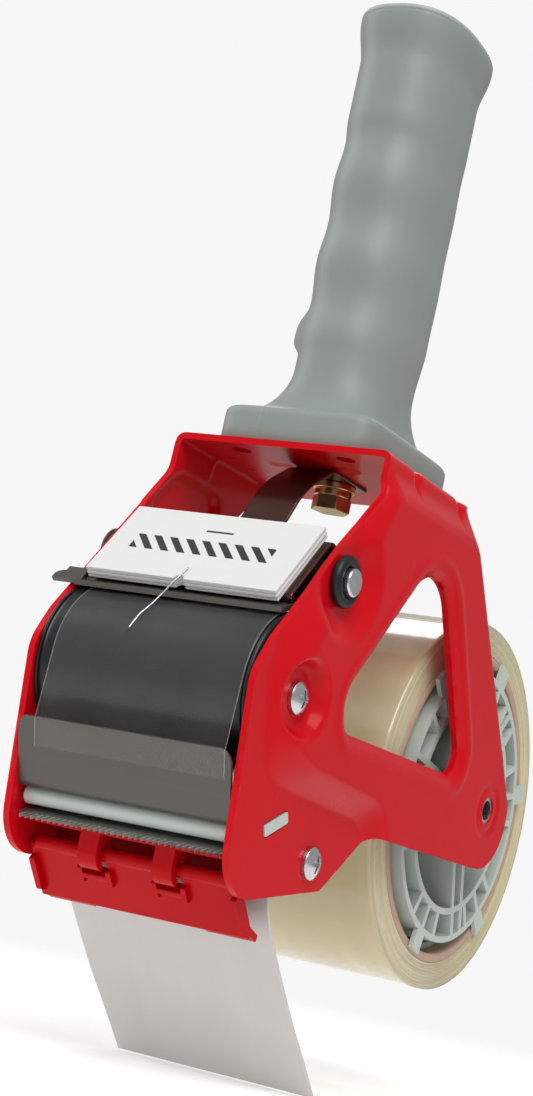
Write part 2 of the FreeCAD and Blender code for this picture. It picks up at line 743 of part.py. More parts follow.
def make_carrier_screws():
    """Two small screws that clamp carrier, blade and holder together."""
    screws = []
    y0, z0 = local(2.0, carrier_top - carrier_thickness)
    direction = V(0, -math.sin(slope), math.cos(slope))
    for side in (-1, 1):
        start = V(side * 19.0, y0, z0)
        shank = Part.makeCylinder(1.5, carrier_thickness + blade_thickness + holder_thickness, start,
                direction)
        head = Part.makeCylinder(2.7, 1.8, start - direction * 1.8, direction)
        screws.append(head.fuse(shank))
    return Part.makeCompound(screws)


clamp_screws = make_carrier_screws()


def drilled(shape):
    """Clearance holes for the clamp screws."""
    y0, z0 = local(2.0, carrier_top - carrier_thickness - 4)
    direction = V(0, -math.sin(slope), math.cos(slope))
    for side in (-1, 1):
        shape = shape.cut(Part.makeCylinder(1.5 + running_fit, 16, V(side * 19.0, y0, z0), direction))
    return shape


save("blade_holder", drilled(make_holder()))
save("blade", drilled(make_blade()))
save("guide_plate", drilled(make_guide_plate()))
save("guard_carrier", drilled(make_carrier()))
save("clamp_screws", clamp_screws)
save("blade_guard", make_guard())

rod_y, rod_z = local(rod_s, rod_t)
pin_radius = 1.25
rod = tube_x(rod_y, rod_z, rod_radius, -plate_clear + 0.4, plate_clear - 0.4, pin_radius + running_fit)
save("idler_rod", rod)
save("idler_pin", tube_x(rod_y, rod_z, pin_radius, -inner_half, inner_half))

# ---- wiper flap ---------------------------------------------------------------------------------
flap_half = inner_half - 0.6


def flap_line(offset):
    """Curve of the flap, moved sideways by offset: it hangs, then sweeps back under the roll."""
    points = [(flap_top_y, flap_top_z), (flap_top_y, flap_top_z - 5.0),
            (flap_top_y + 0.4, flap_top_z - 9.5), (flap_top_y + 4.2, flap_top_z - 16.4),
              (flap_top_y + 11.9, flap_top_z - 24.6), (flap_top_y + 23.5, flap_top_z - 35.6),
              (flap_top_y + 36.4, flap_top_z - 46.8), (flap_top_y + 41.9, flap_top_z - 51.8)]
    shifted = []
    for i, (y, z) in enumerate(points):
        a = points[max(0, i - 1)]
        b = points[min(len(points) - 1, i + 1)]
        run = math.hypot(b[0] - a[0], b[1] - a[1])
        shifted.append(V(-flap_half, y - (b[1] - a[1]) / run * offset, z + (b[0] - a[0]) / run * offset))
    curve = Part.BSplineCurve()
    curve.interpolate(Points=shifted, InitialTangent=V(0, 0, -1), FinalTangent=V(0, 0.75, -0.66))
    return curve.toShape(), shifted


def make_flap():
    front, front_points = flap_line(-flap_thickness / 2)
    rear, rear_points = flap_line(flap_thickness / 2)
    wire = Part.Wire([front, Part.makeLine(front_points[-1], rear_points[-1]), rear,
                      Part.makeLine(rear_points[0], front_points[0])])
    return Part.Face(wire).extrude(V(2 * flap_half, 0, 0))


save("wiper_flap", make_flap())
clamp_y = flap_top_y + flap_thickness / 2 + 0.05
save("flap_clamp", box(-flap_half, flap_half, clamp_y, clamp_y + 1.0, flap_top_z - 6.0, flap_top_z))

# ---- tape roll and hub ----------------------------------------------------------------------------
drum_radius = core_inner - 0.1
save("tape_roll", tube_x(0, 0, roll_radius, -tape_half, tape_half, core_outer + 0.01))
save("tape_core", tube_x(0, 0, core_outer, -tape_half, tape_half, core_inner))

hub_face = tape_half + 1.3
boss_radius = stud_diameter / 2 + 5.0
bush_radius = stud_diameter / 2 + 2.0
ring_radius = core_inner - 3.1
inner_ring_radius = core_inner - 10.3
hub_depth = 26.0
web_x = hub_face - hub_depth
tab_count = 6
spoke_count = 3


def radial_wall(angle_in, radius_in, angle_out, radius_out, x0, x1):
    """Thin wall between two polar points about the roll's axis, its faces running along X."""
    a = math.radians(angle_in)
    b = math.radians(angle_out)
    start = V(0, radius_in * math.cos(a), radius_in * math.sin(a))
    end = V(0, radius_out * math.cos(b), radius_out * math.sin(b))
    along = (end - start).normalize()
    across = V(0, -along.z, along.y) * (hub_wall / 2)
    points = [start + across, end + across, end - across, start - across]
    return prism([(p.y, p.z, 0.0) for p in points], x0, x1)


def make_hub():
    drum = tube_x(0, 0, drum_radius, -tape_half + 2, tape_half - 5, drum_radius - hub_wall)
    ring = tube_x(0, 0, ring_radius, web_x, hub_face, ring_radius - hub_wall)
    inner_ring = tube_x(0, 0, inner_ring_radius, web_x, hub_face, inner_ring_radius - hub_wall)
    boss = tube_x(0, 0, boss_radius, web_x - 6, hub_face + 0.6)
    web = tube_x(0, 0, drum_radius - 0.5, web_x - 2, web_x)
    body = drum.fuse([ring, inner_ring, boss, web])
    for i in range(spoke_count):
        middle = -70 + 360 * i / spoke_count
        for side in (-1, 1):
            body = body.fuse(radial_wall(middle + side * 22, boss_radius - 1, middle + side * 4,
                    ring_radius - 0.8,
                                         web_x, hub_face))
    for i in range(tab_count):
        middle = 13 + 360 * i / tab_count
        for side in (-13, 0, 13):
            body = body.fuse(radial_wall(middle + side, inner_ring_radius - 0.8, middle + side,
                    ring_radius - 0.8,
                                         web_x, hub_face))
        body = body.fuse(radial_wall(middle, ring_radius - 0.8, middle, drum_radius - 0.5, web_x,
                tape_half - 4))
        tab = box(tape_half + 0.15, hub_face, ring_radius - 1.2, core_outer - 0.4, -2.4, 2.4)
        tab.rotate(V(0, 0, 0), V(1, 0, 0), middle)
        body = body.fuse(tab)
    return body.cut(tube_x(0, 0, bush_radius + 0.01, web_x - 8, hub_face + 2))


save("hub", make_hub())
save("hub_bush", tube_x(0, 0, bush_radius, web_x - 6, hub_face + 0.6, stud_diameter / 2 + running_fit))

stud_radius = stud_diameter / 2
stud_flange_x = raised_half - sheet
spring_length = 8.0
washer_x = web_x - 6.0 - loose_fit
nut_x = washer_x - 1.6 - spring_length


def make_stud():
    """Shouldered stud riveted into the lobe of the long plate; its outer end is a blind tapped hole."""
    flange = tube_x(0, 0, stud_radius + 3.5, hub_face + 0.6 + loose_fit, stud_flange_x - 0.01)
    body = flange.fuse(tube_x(0, 0, stud_radius, nut_x - 7.0, stud_flange_x))
    spigot = tube_x(0, 0, stud_hole / 2 - running_fit, stud_flange_x - 1, stud_flange_x + sheet - 0.4)
    body = body.fuse(spigot)
    return body.cut(tube_x(0, 0, 2.5, stud_flange_x - 8, stud_flange_x + sheet + 1))


save("hub_stud", make_stud())
save("brake_washer", tube_x(0, 0, 8.0, washer_x - 1.6, washer_x, stud_radius + running_fit))
spring_radius = stud_radius + 1.6
spring_turns = 3.2
spring_wire = 0.6
spring_sides = 8
spring_steps = 14


def make_spring():
    """Round wire coiled about the stud: an eight-sided section carried along a helix."""
    pitch = (spring_length - 2 * spring_wire - 0.2) / spring_turns
    sections = []
    for i in range(int(spring_turns * spring_steps) + 1):
        angle = 2 * math.pi * i / spring_steps
        outward = V(0, math.cos(angle), math.sin(angle))
        along = V(pitch / (2 * math.pi), -spring_radius * math.sin(angle),
                spring_radius * math.cos(angle)).normalize()
        side = along.cross(outward)
        centre = outward * spring_radius + V(nut_x + spring_wire + 0.1 + pitch * i / spring_steps, 0, 0)
        points = []
        for k in range(spring_sides + 1):
            turn = 2 * math.pi * k / spring_sides
            points.append(centre + (outward * math.cos(turn) + side * math.sin(turn)) * spring_wire)
        sections.append(Part.makePolygon(points))
    return Part.makeLoft(sections, True, True)


save("brake_spring", make_spring())
nut_blank = hexagon_prism(13.0, 0, 6.5, 0, 0)
nut_blank.rotate(V(0, 0, 0), V(0, 1, 0), 90)
nut_blank.translate(V(nut_x - 6.5, 0, 0))
save("brake_nut", nut_blank.cut(tube_x(0, 0, stud_radius + 0.01, nut_x - 9, nut_x + 2)))

# ---- lever with its bracket, cards and wire --------------------------------------------------------
lever_slope = math.radians(lever_angle)
lever_half = inner_half - 0.6
knuckle_outer = shaft_radius + running_fit + lever_sheet
lever_length = 22.1


def lever_point(distance, lift):
    """Point in the lever plate's frame: distance forward from the shaft's foot, lift above its middle."""
    foot = knuckle_outer - lever_sheet / 2
    y = (shaft_y + foot * math.sin(lever_slope) - distance * math.cos(lever_slope)
         - lift * math.sin(lever_slope))
    z = (shaft_z - foot * math.cos(lever_slope) - distance * math.sin(lever_slope)
         + lift * math.cos(lever_slope))
    return (y, z)


tab_overhang = 3.8


def make_lever():
    """Steel plate rolled round the shaft, with a thumb tab past the short plate."""
    half = lever_sheet / 2
    plate = prism([lever_point(0, -half) + (0.0,), lever_point(lever_length, -half) + (0.0,),
                   lever_point(lever_length, half) + (0.0,), lever_point(0, half) + (0.0,)],
                  -lever_half, lever_half)
    knuckle = tube_x(shaft_y, shaft_z, knuckle_outer, -lever_half, lever_half)
    body = plate.fuse(knuckle)
    tab_y, tab_z = lever_point(lever_length - 0.4, 0)
    tilt = math.radians(card_angle)
    reach = 4.4
    tab_path = [(tab_y - 0.3, tab_z, 0.0), (tab_y - 0.3 + reach * math.cos(tilt),
            tab_z + reach * math.sin(tilt), 0.0)]
    tab = strip(tab_path, lever_sheet, -outer_half - tab_overhang, -card_width / 2 - loose_fit - 0.2)
    tip = Part.makeCylinder(reach / 2 + 0.2, 30, V(-outer_half - tab_overhang + reach / 2,
            tab_y + 1.4 + 10, tab_z + 2 - 11.5),
                            V(0, -math.sin(tilt), math.cos(tilt)))
    inward = box(-outer_half - tab_overhang + reach / 2, 0, tab_y - 20, tab_y + 20, tab_z - 20, tab_z + 20)
    body = body.fuse(tab.common(tip.fuse(inward)))
    return body.cut(tube_x(shaft_y, shaft_z, shaft_radius + running_fit, -60, 60))


save("lever_plate", make_lever())

card_slope = math.radians(card_angle)
bracket_front = lever_point(lever_length - 3.4, lever_sheet / 2 + bracket_sheet / 2 + 0.03)
bracket_back = lever_point(lever_length - 10.5, lever_sheet / 2 + bracket_sheet / 2 + 0.03)
bracket_length = 22.0


def card_point(distance, lift):
    """Point in the card stack's frame: distance up its slope from the bracket's front fold."""
    y = bracket_front[0] + distance * math.cos(card_slope) - lift * math.sin(card_slope)
    z = bracket_front[1] + distance * math.sin(card_slope) + lift * math.cos(card_slope)
    return (y, z)


def make_bracket():
    """Dark steel channel folded up from the lever plate to carry the cards."""
    top = card_point(bracket_length, 0)
    rear = (shaft_y + knuckle_outer + 0.9, shaft_z + 5.6)
    foot = (shaft_y + knuckle_outer + 0.55, shaft_z - 1.0)
    path = [bracket_back + (0.0,), bracket_front + (0.7,), top + (1.6,), rear + (1.4,), foot + (0.0,)]
    return strip(path, bracket_sheet, -card_width / 2 + 0.2, lever_half - 0.4)


save("card_bracket", make_bracket())
first_card = bracket_sheet / 2 + 0.02
card_start = -0.8
for i in range(card_count):
    low = first_card + i * (card_thickness + 0.02)
    shift = (0.0, 0.25, -0.15, 0.2, -0.05)[i % 5]
    skew = (0.0, -0.2, 0.15, -0.1, 0.1)[i % 5]
    card = prism([card_point(card_start + shift, low) + (0.0,),
            card_point(card_start + shift + card_depth, low) + (0.0,),
                  card_point(card_start + shift + card_depth, low + card_thickness) + (0.0,),
                  card_point(card_start + shift, low + card_thickness) + (0.0,)],
                 -card_width / 2 + skew, card_width / 2 + skew)
    notch_y, notch_z = card_point(card_start, low)
    notch = Part.makeCylinder(1.2, 6, V(0, notch_y, notch_z) - V(0, -math.sin(card_slope),
            math.cos(card_slope)) * 2,
                              V(0, -math.sin(card_slope), math.cos(card_slope)))
    save("card_%d" % (i + 1), card.cut(notch))

stack_top = first_card + card_count * (card_thickness + 0.02)


wire_radius = 0.2
wire_clear = 0.9
wire_drops = ((-1.6, 3.2), (-3.0, 6.2), (-4.0, 9.4), (-4.6, 12.6))


def make_wire():
    """Thin steel wire bent over the front of the cards and hanging before the roller."""
    y0, z0 = card_point(3.0, stack_top + wire_radius + 0.05)
    y1, z1 = card_point(card_start - 0.9, stack_top + wire_radius + 0.05)
    stops = [V(0.6, y0, z0), V(0.0, y1, z1)]
    around = roller_radius + film_gap + tape_film + wire_clear + wire_radius
    for x, drop in wire_drops:
        rise = z1 - drop - roller_z
        stops.append(V(x, min(y1 - 1.0, roller_y - math.sqrt(max(0.0, around ** 2 - rise ** 2))),
                z1 - drop))
    pieces = []
    for a, b in zip(stops[:-1], stops[1:]):
        pieces.append(Part.makeCylinder(wire_radius, (b - a).Length, a, b - a))
        pieces.append(Part.makeSphere(wire_radius, b))
    return pieces[0].fuse(pieces[1:])


save("card_wire", make_wire())

# ---- tape from the roll over the roller ------------------------------------------------------------


def tangent_points():
    """Inner common tangent: from the lower front of the roll to the upper back of the roller."""
    ra = roll_radius + film_gap + 0.2
    rb = roller_radius + film_gap
    distance = math.hypot(roller_y, roller_z)
    u = V(0, roller_y / distance, roller_z / distance)
    n = V(0, -u.z, u.y)
    k = (ra + rb) / distance
    direction = u * k + n * math.sqrt(1 - k * k)
    return direction * ra, V(0, roller_y, roller_z) - direction * rb, direction


def make_tape():
    """Free run of tape, its wrap over the roller, and the cut end lying on the guide plate."""
    leave, meet, direction = tangent_points()
    centre = V(0, roller_y, roller_z)
    inner = roller_radius + film_gap
    outer = inner + tape_film
    plate_top = V(0, guide_top[0], guide_top[1])
    edge = plate_top + V(0, -0.25, 1.0)
    to_edge = edge - centre
    angle = math.atan2(to_edge.z, to_edge.y) % (2 * math.pi)
    lean = math.acos(outer / to_edge.Length)
    release = angle - lean
    meet_angle = math.atan2(-direction.z, -direction.y) % (2 * math.pi)

    def on(radius, a):
        return centre + V(0, math.cos(a), math.sin(a)) * radius

    middle = (meet_angle + release) / 2
    run = direction * -1
    a_in, a_out = leave, leave + run * tape_film
    b_in, b_out = on(inner, meet_angle), on(outer, meet_angle)
    c_in, c_out = on(inner, release), on(outer, release)
    front = local(15.4, rod_t + rod_radius + 0.35 + guide_sheet / 2)
    face = (V(0, front[0], front[1]) - plate_top).normalize()
    outward = V(0, face.z, -face.y)
    if outward.y > 0:
        outward = outward * -1
    lift = guide_sheet / 2 + 0.12
    d_in = plate_top + outward * lift + face * 0.2
    e_in = d_in + face * 6.2
    d_out = d_in + outward * tape_film
    e_out = e_in + outward * tape_film
    top_in = edge
    top_out = edge + V(0, -0.1, tape_film)
    edges = [Part.makeLine(a_in, b_in), Part.Arc(b_in, on(inner, middle), c_in).toShape(),
             Part.makeLine(c_in, top_in), Part.makeLine(top_in, d_in), Part.makeLine(d_in, e_in),
             Part.makeLine(e_in, e_out), Part.makeLine(e_out, d_out), Part.makeLine(d_out, top_out),
             Part.makeLine(top_out, c_out), Part.Arc(c_out, on(outer, middle), b_out).toShape(),
             Part.makeLine(b_out, a_out), Part.makeLine(a_out, a_in)]
    section = Part.Wire(edges)
    section.translate(V(film_shift - tape_half, 0, 0))
    return Part.Face(section).extrude(V(tape_width, 0, 0))


save("tape_run", make_tape())
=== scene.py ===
"""Looks of a hand-held packing-tape dispenser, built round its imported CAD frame.

All lengths are metres unless a name ends in _mm.
X runs across the tape, -Y is the cutting front, +Z is up."""
import json
import math

import bmesh
import bpy
import numpy as np
from bpy.props import FloatProperty, FloatVectorProperty, IntProperty, PointerProperty
from mathutils import Matrix, Vector
from mathutils.geometry import delaunay_2d_cdt

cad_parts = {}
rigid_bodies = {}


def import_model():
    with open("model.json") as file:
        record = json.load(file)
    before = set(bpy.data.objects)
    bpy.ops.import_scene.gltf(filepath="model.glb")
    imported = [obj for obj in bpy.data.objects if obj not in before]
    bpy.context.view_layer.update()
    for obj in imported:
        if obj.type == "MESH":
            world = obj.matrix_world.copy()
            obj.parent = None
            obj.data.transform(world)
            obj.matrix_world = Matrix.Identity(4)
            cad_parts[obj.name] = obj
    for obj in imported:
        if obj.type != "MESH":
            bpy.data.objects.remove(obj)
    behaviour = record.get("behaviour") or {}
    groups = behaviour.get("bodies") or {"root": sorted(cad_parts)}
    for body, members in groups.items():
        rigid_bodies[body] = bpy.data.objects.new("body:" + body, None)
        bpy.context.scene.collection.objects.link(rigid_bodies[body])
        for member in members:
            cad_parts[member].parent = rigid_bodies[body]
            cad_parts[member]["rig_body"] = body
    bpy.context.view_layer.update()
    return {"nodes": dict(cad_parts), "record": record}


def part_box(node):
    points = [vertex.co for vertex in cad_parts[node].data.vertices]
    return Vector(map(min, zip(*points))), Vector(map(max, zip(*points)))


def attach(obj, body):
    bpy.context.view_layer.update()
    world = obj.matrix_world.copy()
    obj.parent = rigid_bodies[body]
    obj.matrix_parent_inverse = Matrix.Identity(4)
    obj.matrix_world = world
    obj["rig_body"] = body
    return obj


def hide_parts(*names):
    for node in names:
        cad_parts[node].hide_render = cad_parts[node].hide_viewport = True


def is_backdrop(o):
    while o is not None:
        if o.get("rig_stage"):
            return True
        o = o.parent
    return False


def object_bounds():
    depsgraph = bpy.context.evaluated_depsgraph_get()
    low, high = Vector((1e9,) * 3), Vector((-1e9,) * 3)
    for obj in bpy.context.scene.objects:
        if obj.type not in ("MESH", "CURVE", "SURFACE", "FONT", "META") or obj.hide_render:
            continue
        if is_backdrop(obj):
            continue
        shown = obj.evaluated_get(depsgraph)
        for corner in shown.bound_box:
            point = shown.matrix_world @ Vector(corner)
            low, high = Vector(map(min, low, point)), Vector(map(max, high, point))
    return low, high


bl_info = {
    "name": "Tape Dispenser",
    "version": (1, 0, 0),
    "blender": (4, 5, 0),
    "location": "View3D > Sidebar > Tape Dispenser",
    "description": "Builds a packing-tape dispenser round its CAD frame",
    "category": "Add Mesh",
}

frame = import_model()
MM = 0.001


def node_box(name):
    """Lowest and highest corner of a CAD node, in millimetres."""
    low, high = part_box(name)
    return np.array(low) / MM, np.array(high) / MM


# ---- settings a user may change -------------------------------------------------------------------
def colour_setting(name, description, default):
    return FloatVectorProperty(name=name, description=description, subtype="COLOR", size=3, min=0.0, max=1.0,
                               default=default)


class TAPE_Sizes(bpy.types.PropertyGroup):
    """Sizes of the dispenser's visible surfaces."""
    sheet: FloatProperty(name="Frame sheet", description="Thickness of the folded steel sheet", unit="LENGTH",
                         default=0.0016)
    mesh_step: FloatProperty(name="Sheet mesh step",
            description="Distance between points of the pressed sheet",
                             unit="LENGTH", default=0.0009)
    raise_height: FloatProperty(name="Panel height",
            description="How far the long plate's panel is pressed out",
                                unit="LENGTH", default=0.0036)
    edge_round: FloatProperty(name="Edge rounding", description="Rounding of the sheet's cut edges",
            unit="LENGTH",
                              default=0.0003)
    groove_depth: FloatProperty(name="Finger grooves", description="Depth of the grip's finger grooves",
                                unit="LENGTH", default=0.0013)
    grip_tilt: FloatProperty(name="Grip end slope", description="Slope of the grip's end, down to the rear",
                             default=0.06)
    tape_turns: IntProperty(name="Visible turns", description="Steps seen on the wound tape's side",
            default=26)


class TAPE_Colours(bpy.types.PropertyGroup):
    """Base colours of the finishes, in linear values."""
    red: colour_setting("Red paint", "Gloss paint of the frame", (0.56, 0.003, 0.009))
    red_plastic: colour_setting("Red plastic", "Moulded guard and its carrier", (0.47, 0.001, 0.004))
    grip: colour_setting("Grip", "Moulded grip", (0.245, 0.275, 0.255))
    lid: colour_setting("Grip lid", "Lid on the grip's end", (0.36, 0.40, 0.375))
    pale: colour_setting("Pale plastic", "Hub, rod and blade holder", (0.50, 0.56, 0.51))
    tape: colour_setting("Wound tape", "Roll seen through many turns", (0.60, 0.52, 0.30))
    core: colour_setting("Core board", "Cardboard core", (0.46, 0.31, 0.23))
    roller: colour_setting("Roller", "Black guide roller", (0.010, 0.011, 0.014))
    steel: colour_setting("Plated steel", "Screws, shafts and washers", (0.62, 0.63, 0.65))
    satin: colour_setting("Satin steel", "Guide plate and lever plate", (0.115, 0.106, 0.094))
    dark_steel: colour_setting("Dark steel", "Strap and card bracket", (0.13, 0.06, 0.05))
    brass: colour_setting("Yellow zinc", "Bolt and washers under the bridge", (0.66, 0.50, 0.20))
    card: colour_setting("Card", "White card strips", (0.74, 0.74, 0.72))
    flap: colour_setting("Flap", "Milky wiper flap", (0.60, 0.585, 0.56))


class TAPE_Stage(bpy.types.PropertyGroup):
    """Camera and light."""
    lens: FloatProperty(name="Lens", description="Focal length on a 36 mm sensor", default=70.75)
    key_power: FloatProperty(name="Key light", description="Watts of the large soft light", default=13.0)
    fill_power: FloatProperty(name="Fill light", description="Watts of the fill light", default=4.5)
    world: FloatProperty(name="Room light", description="Strength of the even light from all round",
            default=0.42)
    background: FloatProperty(name="Background", description="Brightness of the background", default=0.93)


# ---- shader maths ---------------------------------------------------------------------------------
class Field:
    """A number that varies over a surface. Python's operators add the Math nodes that work it out."""

    def __init__(self, finish, socket):
        self.finish = finish
        self.socket = socket

    def _math(self, operation, *others):
        return self.finish.node("ShaderNodeMath", {"operation": operation}, (self,) + others)

    def __add__(self, other):
        return self._math("ADD", other)

    __radd__ = __add__

    def __sub__(self, other):
        return self._math("SUBTRACT", other)

    def __rsub__(self, other):
        return self.finish.node("ShaderNodeMath", {"operation": "SUBTRACT"}, (other, self))

    def __mul__(self, other):
        return self._math("MULTIPLY", other)

    __rmul__ = __mul__

    def __truediv__(self, other):
        return self._math("DIVIDE", other)

    def __neg__(self):
        return self._math("MULTIPLY", -1.0)

    def __abs__(self):
        return self._math("ABSOLUTE")

    def __pow__(self, other):
        return self._math("POWER", other)

    def maximum(self, other):
        return self._math("MAXIMUM", other)

    def minimum(self, other):
        return self._math("MINIMUM", other)

    def sine(self):
        return self._math("SINE")

    def root(self):
        return self._math("SQRT")

    def step(self, low, high):
        """0 below low, 1 above high, smooth between."""
        return self.finish.node("ShaderNodeMapRange", {"interpolation_type": "SMOOTHSTEP"},
                                (self, low, high, 0.0, 1.0))


class Finish:
    """One material: a Principled shader and the fields and colours that feed it."""

    def __init__(self, name, base, roughness, metallic=0.0, **constants):
        self.material = bpy.data.materials.new(name)
        self.material.use_nodes = True
        self.tree = self.material.node_tree
        self.shader = self.tree.nodes["Principled BSDF"]
        self.base = tuple(base) + (1.0,)
        self.put("Base Color", self.base)
        self.put("Roughness", roughness)
        self.put("Metallic", metallic)
        for key, value in constants.items():
            self.put(key.replace("_", " ").title().replace("Ior", "IOR"), value)

    def put(self, socket, value):
        """Sets a socket of the shader, or links a field or colour to it."""
        self._feed(self.shader.inputs[socket], value)

    def _feed(self, socket, value):
        if isinstance(value, Field):
            self.tree.links.new(value.socket, socket)
        elif isinstance(value, bpy.types.NodeSocket):
            self.tree.links.new(value, socket)
        else:
            socket.default_value = value

    def node(self, kind, settings=None, inputs=(), output=0):
        """Adds a node: its settings first, then its sockets, in order or by name."""
        made = self.tree.nodes.new(kind)
        for key, value in (settings or {}).items():
            setattr(made, key, value)
        pairs = inputs.items() if isinstance(inputs, dict) else enumerate(inputs)
        for key, value in pairs:
            self._feed(made.inputs[key], value)
        return Field(self, made.outputs[output])

    def place(self):
        """The surface point's x, y and z in millimetres."""
        coordinates = self.node("ShaderNodeTexCoord", output="Object")
        split = self.node("ShaderNodeSeparateXYZ", None, (coordinates,))
        outputs = split.socket.node.outputs
        return tuple(Field(self, outputs[i]) / MM for i in range(3))

    def noise(self, scale, detail=2.0, stretch=(1.0, 1.0, 1.0), roughness=0.5):
        """Noise between 0 and 1; scale is features per metre and stretch squeezes it along each axis."""
        coordinates = self.node("ShaderNodeTexCoord", output="Object")
        mapping = self.node("ShaderNodeMapping", None, {"Vector": coordinates, "Scale": stretch})
        return self.node("ShaderNodeTexNoise", None,
                         {"Vector": mapping, "Scale": scale, "Detail": detail, "Roughness": roughness})

    def mix(self, low, high, factor):
        """Colour between low and high."""
        mixed = self.tree.nodes.new("ShaderNodeMix")
        mixed.data_type = "RGBA"
        self._feed(mixed.inputs["Factor"], factor)
        sides = [s for s in mixed.inputs if s.type == "RGBA"]
        for socket, value in zip(sides, (low, high)):
            self._feed(socket, tuple(value) + (1.0,) if isinstance(value,
                    tuple) and len(value) == 3 else value)
        return [s for s in mixed.outputs if s.type == "RGBA"][0]

    def shade(self, factor):
        """The base colour multiplied by a field's value."""
        dark = tuple(c * 0.5 for c in self.base[:3])
        bright = tuple(min(1.0, c * 1.5) for c in self.base[:3])
        return self.mix(dark, bright, factor)

    def bump(self, height, distance_mm=0.1, strength=1.0):
        """Feeds the shader's normal from a height between 0 and 1."""
        made = self.node("ShaderNodeBump", None,
                         {"Height": height, "Distance": distance_mm * MM, "Strength": strength})
        self.put("Normal", made)


def settings():
    return bpy.context.scene.tape_colours


FINISHES = {}
CARD_TILT = 49.0
FILM_SHIFT = 1.5
FILM_HALF = 24.0


def finish_named(name):
    """The material of that name, made when first asked for."""
    if name not in FINISHES:
        FINISHES[name] = FINISH_MAKERS[name](name)
    return FINISHES[name]


def paint_finish(name):
    """Gloss paint: faint orange peel, a slow change of tone and dust-like roughness."""
    f = Finish(name, settings().red, 0.3, specular_ior_level=0.09, coat_weight=0.1, coat_roughness=0.07)
    tone = f.noise(22.0, 2.0) * 0.12 + f.noise(140.0, 2.0) * 0.05 + 0.415
    f.put("Base Color", f.shade(tone))
    f.put("Roughness", f.noise(60.0, 3.0) * 0.12 + 0.24)
    f.bump(f.noise(420.0, 1.5) * 0.6 + f.noise(1600.0, 1.0) * 0.15, 0.05, 0.5)
    return f.material


def red_plastic_finish(name):
    """Moulded red plastic: shiny, with a very fine grain."""
    f = Finish(name, settings().red_plastic, 0.3, specular_ior_level=0.1, coat_weight=0.04,
            coat_roughness=0.15)
    f.put("Base Color", f.shade(f.noise(45.0, 2.0) * 0.16 + 0.42))
    f.put("Roughness", f.noise(200.0, 2.0) * 0.12 + 0.24)
    f.bump(f.noise(1500.0, 2.0), 0.03, 0.4)
    return f.material


def grip_finish(name):
    """Grey moulding: fine matt grain, a moulding line down the front left, smears of handling."""
    f = Finish(name, settings().grip, 0.5)
    x, y, _ = f.place()
    smear = f.noise(35.0, 3.0, (1.0, 1.0, 0.4))
    f.put("Base Color", f.shade(smear * 0.10 + f.noise(240.0, 2.0) * 0.04 + 0.43))
    f.put("Roughness", smear * 0.14 + 0.42)
    line = 1 - abs(x + 8.2).step(0.0, 0.42)
    front = 1 - (y + 62.0).step(-3.0, 0.0)
    f.bump(f.noise(1500.0, 2.0) * 0.25 + line * front * 0.5, 0.18, 0.7)
    return f.material


def lid_finish(name):
    f = Finish(name, settings().lid, 0.42)
    f.put("Base Color", f.shade(f.noise(60.0, 2.0) * 0.12 + 0.44))
    f.put("Roughness", f.noise(150.0, 2.0) * 0.1 + 0.36)
    f.bump(f.noise(1300.0, 2.0), 0.03, 0.5)
    return f.material


def pale_finish(name):
    """Pale green-grey moulding with a soft sheen and a little dirt in the tone."""
    f = Finish(name, settings().pale, 0.4)
    f.put("Base Color", f.shade(f.noise(70.0, 3.0) * 0.14 + 0.43))
    f.put("Roughness", f.noise(260.0, 2.0) * 0.14 + 0.33)
    f.bump(f.noise(1200.0, 2.0), 0.03, 0.5)
    return f.material


def wound_tape_finish(name):
    """Clear tape wound deep: amber body, fine winding rings on the side, streaks of air on the round face."""
    f = Finish(name, settings().tape, 0.2, coat_weight=0.8, coat_roughness=0.06)
    x, y, z = f.place()
    radius = (y * y + z * z).root()
    side = abs(x).step(23.4, 23.9)
    rings = f.noise(900.0, 2.0, (0.0, 1.0, 1.0))
    winding = (radius * 9.0).sine() * 0.25 + (radius * 3.3 + rings * 2.0).sine() * 0.25 + 0.5
    air = f.noise(38.0, 3.0, (1.4, 0.5, 0.5)).step(0.42, 0.72)
    streak = f.noise(500.0, 2.0, (1.0, 0.03, 0.03))
    body = f.mix((0.56, 0.47, 0.25), (0.72, 0.65, 0.43), air * 0.7 + streak * 0.2)
    edge = f.mix((0.50, 0.42, 0.22), (0.72, 0.66, 0.46), winding * 0.6 + rings * 0.4)
    f.put("Base Color", f.mix(body, edge, side))
    f.put("Roughness", side * 0.16 + rings * 0.08 + 0.12)
    f.bump(side * winding * 0.6 + (1 - side) * (streak * 0.35 + air * 0.2), 0.05, 0.6)
    return f.material


def film_finish(name):
    """One turn of clear film: mostly see-through, milky where it creases, shiny."""
    f = Finish(name, (0.80, 0.79, 0.74), 0.09, specular_ior_level=0.15)
    x, _, _ = f.place()
    cloud = f.noise(60.0, 3.0, (1.0, 0.4, 0.4))
    edge = abs(x - FILM_SHIFT).step(FILM_HALF - 0.2, FILM_HALF - 0.02)
    f.put("Alpha", cloud * 0.02 + edge * 0.15 + 0.01)
    f.put("Roughness", cloud * 0.1 + 0.05)
    f.bump(cloud, 0.02, 0.25)
    return f.material


def flap_finish(name):
    """Milky flexible sheet: rolling lines along it and a dull shine."""
    f = Finish(name, settings().flap, 0.34, ior=1.45)
    streak = f.noise(90.0, 3.0, (1.0, 0.06, 0.06))
    f.put("Base Color", f.shade(streak * 0.14 + f.noise(30.0, 2.0) * 0.08 + 0.40))
    f.put("Roughness", streak * 0.14 + 0.28)
    f.put("Alpha", 0.93 + streak * 0.03)
    f.bump(streak, 0.06, 0.5)
    return f.material


